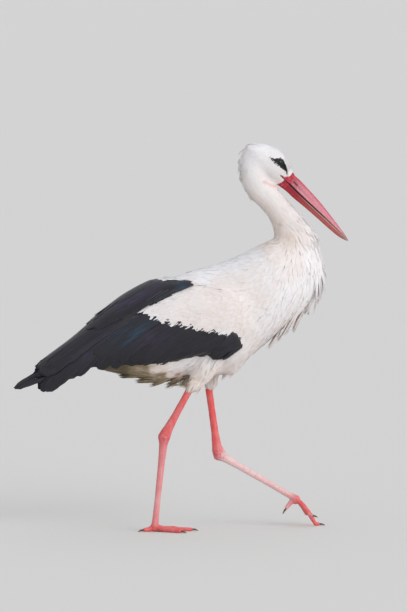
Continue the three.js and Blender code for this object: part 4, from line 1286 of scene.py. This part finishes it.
def quillPiece(name, blades, material, mirrored=False):
    points, faces = joined([(b["points"], b["faces"]) for b in blades])
    if mirrored:
        points, faces = points * (1, -1, 1), faces[:, ::-1]
    mesh, each = meshOf(name, points, faces), [len(b["points"]) for b in blades]
    luck = np.repeat(chance.random(len(blades)), each)
    if material is blackQuills:
        hue, sheen = (np.repeat([b[key] for b in blades], each) for key in ("hue", "sheen"))
        along = np.concatenate([b["share"][:, 1] for b in blades])
        # the painted sheen is strongest partway along each feather
        glow = np.exp(-((along - quillShape["sheenAt"]) / quillShape["sheenLong"]) ** 2)
        addMarks(mesh, hue, sheen * glow, luck)
    else:
        addMarks(mesh, 0.0, 0.25, luck)
    # each blade has its own strip of the map that is baked, its two faces side by side
    strips, vanes = [], []
    for k, b in enumerate(blades):
        beside, along = b["share"].T
        low = np.arange(len(beside)) >= len(beside) / 2
        strip = (k + 0.05 + beside * 0.42 + low * 0.46) / len(blades)
        strips.append(np.stack([strip, 0.01 + along * 0.98], axis=1))
        vanes.append(np.stack([beside, along * b["length"] / barbRun], axis=1))
    addUv(mesh, "OFBake", np.concatenate(strips))
    addUv(mesh, "vane", np.concatenate(vanes))
    pieceOf(name, mesh, material)
    print("stork:", name, len(blades), "feathers,", len(faces) * 2, "triangles")


blackQuills = quillFinish()
for side, mirrored in (("right", False), ("left", True)):
    for setName, plan in quillSets.items():
        quillPiece(f"{setName}_{side}", list(quillsOf(plan)), blackQuills, mirrored)

# free quills, the folded primaries and the tail, run along the middles of their solids
primaryPlan = {
    "count": 7, "width": 24, "facing": (0.15, -0.62, 0.76), "raised": 2.4,
    "spine": [(-180, -30, 410), (-270, -25, 381), (-330, -19, 354), (-390, -10, 322)],
    # from each blade to the next one in: how much shorter, up what slope, lower, lower along its facing
    "step": 9, "slope": 0.5, "drop": 0.8, "under": 0.7, "apart": 0.3,
}
tailPlan = {
    "count": 11, "width": 22, "spine": [(-180, 0, 402), (-238, 0, 383), (-282, 0, 367), (-318, 0, 352)],
    # from each blade to the next one out: aside at the root, more at the tip, shorter, lower, and its lean
    "apart": 2.2, "fan": 1.5, "shorter": 2.2, "drop": 0.5, "lean": 0.02,
}


def freeBlade(points, normal, width, lift):
    spine = evenCurve(np.array([drawn(x, z, y)[:] for x, y, z in points]), quillAlong)
    spine = spine + np.asarray(normal) * lift * mm
    normals = np.tile(unit(np.array(normal, float)), (quillShape["rows"], 1))
    return blade(spine, normals, width * mm, 0.0, {**quillShape, "drape": 0.0, "tile": 0.8})


def primaryBlades(plan=primaryPlan):
    for k in range(plan["count"]):
        points = []
        for i, (x, y, z) in enumerate(plan["spine"]):
            less = k * plan["step"] if i == 3 else k * plan["step"] / 3
            rise = less * plan["slope"] - k * plan["drop"] + plan["raised"]
            points.append((x + less, y - k * plan["apart"] * (3 - i), z + rise))
        made = freeBlade(points, plan["facing"], plan["width"], -k * plan["under"])
        yield {**made, "hue": 0.5, "sheen": 0.15}


def tailBlades(plan=tailPlan):
    for k in range(plan["count"]):
        out = k - (plan["count"] - 1) / 2
        points = [(x + abs(out) * plan["shorter"] * i / 3, out * (plan["apart"] + plan["fan"] * i / 3),
                   z - abs(out) * plan["drop"]) for i, (x, _, z) in enumerate(plan["spine"])]
        yield freeBlade(points, (0.3, plan["lean"] * out, 1.0), plan["width"], -abs(out) * plan["drop"])


quillPiece("primaries_right", list(primaryBlades()), blackQuills)
quillPiece("primaries_left", list(primaryBlades()), blackQuills, True)
quillPiece("tail_feathers", list(tailBlades()), plumageFinish("tail_white", 0.7))

billLook = {
    "crimson": srgb("a4142c"), "tip": srgb("966d5c"), "tipFrom": (0.8, 1.0, 0.0, 0.8), "gapShade": srgb("241012"),
    "scuffs": srgb("e4bfc4"), "wear": 260.0, "clouds": 60.0, "striations": 420.0,
    # where the horn turns to its edge's colour and where the crimson ends, and how much the horn is worn
    # the upper half's paler pink horn and the lower half's darker brick red are partly the bill's own red and
    # partly painted light, lit from above and shaded beneath
    "upper": {"horn": srgb("c67482"), "edge": srgb("b4505c"), "edgeFrom": (0.55, 0.95),
              "crimsonTo": (0.08, 0.30, 0.85, 0.0), "scuffed": 0.32, "lined": 0.06, "gapShadeTo": 0.15},
    "lower": {"horn": srgb("b05450"), "edge": srgb("d29a88"), "edgeFrom": (0.14, 0.26, 0.9, 0.0),
              "crimsonTo": (0.2, 0.56, 0.95, 0.0), "scuffed": 0.06, "lined": 0.03, "gapShadeTo": 0.08},
}


def billFinish(name, key):
    # marks: height from where the two halves meet, how far ahead, and the nostril and grooves, which are
    # darkened as painted shade
    look, half, f = billLook, billLook[key], Finish(name)
    height, ahead, hollowShade, _ = f.marks()
    place = f.place()
    cloud, wear = f.noise(place, look["clouds"]), f.noise(place, look["wear"], 4.0)
    lines = f.maths("SINE", ahead * look["striations"] + cloud * 5)
    colour = f.mix(f.stretch(height, *half["edgeFrom"]), half["horn"], half["edge"])
    colour = f.mix(f.stretch(ahead + cloud * 0.12, *half["crimsonTo"]), colour, look["crimson"])
    colour = f.mix(f.stretch(ahead, *look["tipFrom"]), colour, look["tip"])
    colour = f.mix(f.stretch(wear, 0.5, 0.72, 0.0, half["scuffed"]), colour, look["scuffs"])
    colour = f.mix(f.stretch(lines, 0.2, 1.0, 0.0, half["lined"]), colour, look["scuffs"])
    # painted shade in the gap where the two halves meet, and in the nostril and grooves
    colour = f.mix(f.stretch(height, 0.05, half["gapShadeTo"], 1.0, 0.0), colour, look["gapShade"])
    colour = f.mix(f.clamped(hollowShade * 1.1), colour, look["gapShade"])
    return f.surface(Base_Color=colour, Roughness=0.42 + wear * 0.15, Specular_IOR_Level=0.35,
                     Coat_Weight=0.08, Normal=f.bump(lines * 0.4 + wear, 0.18, 0.0003))


for name, key in (("bill_top_horn", "upper"), ("bill_under_horn", "lower")):
    points, faces, marks = mandible(key)
    mesh = meshOf(name, points, faces)
    addMarks(mesh, *marks)
    pieceOf(name, mesh, billFinish(name, key), ["bill_" + key])

eyeLook = {"pupil": srgb("060608"), "pupilTo": 24 / 90, "iris": srgb("1d1714"), "irisTo": 50 / 90,
           "rim": srgb("0e0c0c"), "flecks": 900.0}


def eyeFinish():
    # mark: how far round from straight out, in quarter turns
    look, f = eyeLook, Finish("eye_gloss")
    angle, _, _, _ = f.marks()
    fleck = f.noise(f.place(), look["flecks"])
    pupilEdge = f.stretch(angle + fleck * 0.03, look["pupilTo"], look["pupilTo"] + 0.04)
    colour = f.mix(pupilEdge, look["pupil"], look["iris"])
    colour = f.mix(f.stretch(angle, look["irisTo"] - 0.06, look["irisTo"]), colour, look["rim"])
    return f.surface(Base_Color=colour, Roughness=0.06 + fleck * 0.02, Specular_IOR_Level=0.25,
                     Coat_Weight=0.35, Coat_Roughness=0.03)


eyeGloss = eyeFinish()
ballPlan = {"rings": 30, "sides": 48, "bulge": 0.035, "bulgeWidth": 0.75}
for side, sideName in ((-1, "right"), (1, "left")):
    angles = np.linspace(0.02, math.pi * 0.62, ballPlan["rings"])
    bulge = 1 + ballPlan["bulge"] * np.exp(-(angles / ballPlan["bulgeWidth"]) ** 4)
    rings = eyeRings(side, angles[:, None], eyePlan["radius"] * bulge, roundTurn(ballPlan["sides"]))
    points, faces = lofted(rings)
    mesh = meshOf("eyeball_" + sideName, points, faces[:, ::-side])
    addMarks(mesh, np.repeat(angles / (math.pi / 2), ballPlan["sides"]))
    pieceOf("eyeball_" + sideName, mesh, eyeGloss, ["eye_" + sideName])

clawLook = {"horn": srgb("4a3a36"), "worn": srgb("8d7466"), "grain": 500.0, "voxel": 0.45 * mm}


def clawFinish():
    look, f = clawLook, Finish("claw_horn")
    grain = f.noise(f.place(), look["grain"])
    return f.surface(Base_Color=f.mix(f.stretch(grain, 0.4, 0.7), look["horn"], look["worn"]),
                     Roughness=0.4 + grain * 0.2, Normal=f.bump(grain, 0.2, 0.0002))


points, faces = wrapped([solidArrays[n] for n in clawNames], clawLook["voxel"])
points = relaxed(points, faces, 0.5, 3)
points[:, 2] = np.maximum(points[:, 2], 0)
pieceOf("claw_horn", meshOf("claw_horn", points, faces), clawFinish(), clawNames)
print("stork: bill, eyes and claws")

studio = {
    "floor": srgb("d8d6d2"), "floorSize": 300.0,
    "keyPower": 1.82, "keySoftness": 55, "keyFrom": (0.75, -0.92, 0.5),
    "fillPower": 0.82, "fill": srgb("eef1f6"),
}


def makeStudio():
    half, f = studio["floorSize"] / 2, Finish("floor")
    corners = np.array([(-half, -half, 0), (half, -half, 0), (half, half, 0), (-half, half, 0)])
    floor = placed("floor", meshOf("floor", corners, np.array([[0, 1, 2, 3]])))
    grain = f.noise(f.place(), 3.0)
    floor.data.materials.append(f.surface(Base_Color=studio["floor"], Roughness=0.82 + grain * 0.1))
    world = bpy.data.worlds.new("studio")
    world.use_nodes = True
    background = world.node_tree.nodes["Background"]
    background.inputs["Color"].default_value = studio["fill"]
    background.inputs["Strength"].default_value = studio["fillPower"]
    bpy.context.scene.world = world
    key = bpy.data.lights.new("key", "SUN")
    key.energy, key.angle = studio["keyPower"], math.radians(studio["keySoftness"])
    placed("key", key).rotation_euler = Vector(studio["keyFrom"]).to_track_quat("Z", "Y").to_euler()


viewing = {"azimuth": -8, "distance": 13, "height": 1.5, "aim": (38.6, 505), "tall": 1.377, "sensor": 36}


def makeCamera():
    turn = math.radians(viewing["azimuth"])
    target = drawn(*viewing["aim"])
    stand = target + Vector((math.sin(turn), -math.cos(turn), 0)) * viewing["distance"]
    stand.z = viewing["height"]
    lens = bpy.data.cameras.new("camera")
    lens.sensor_width = viewing["sensor"]
    lens.lens = viewing["sensor"] * (target - stand).length / viewing["tall"]
    lens.clip_end = 400
    camera = placed("camera", lens)
    camera.location = stand
    camera.rotation_euler = (target - stand).to_track_quat("-Z", "Y").to_euler()
    bpy.context.scene.camera = camera


makeStudio()
makeCamera()
bpy.context.scene.view_settings.view_transform = "Standard"
print("stork: studio ready")
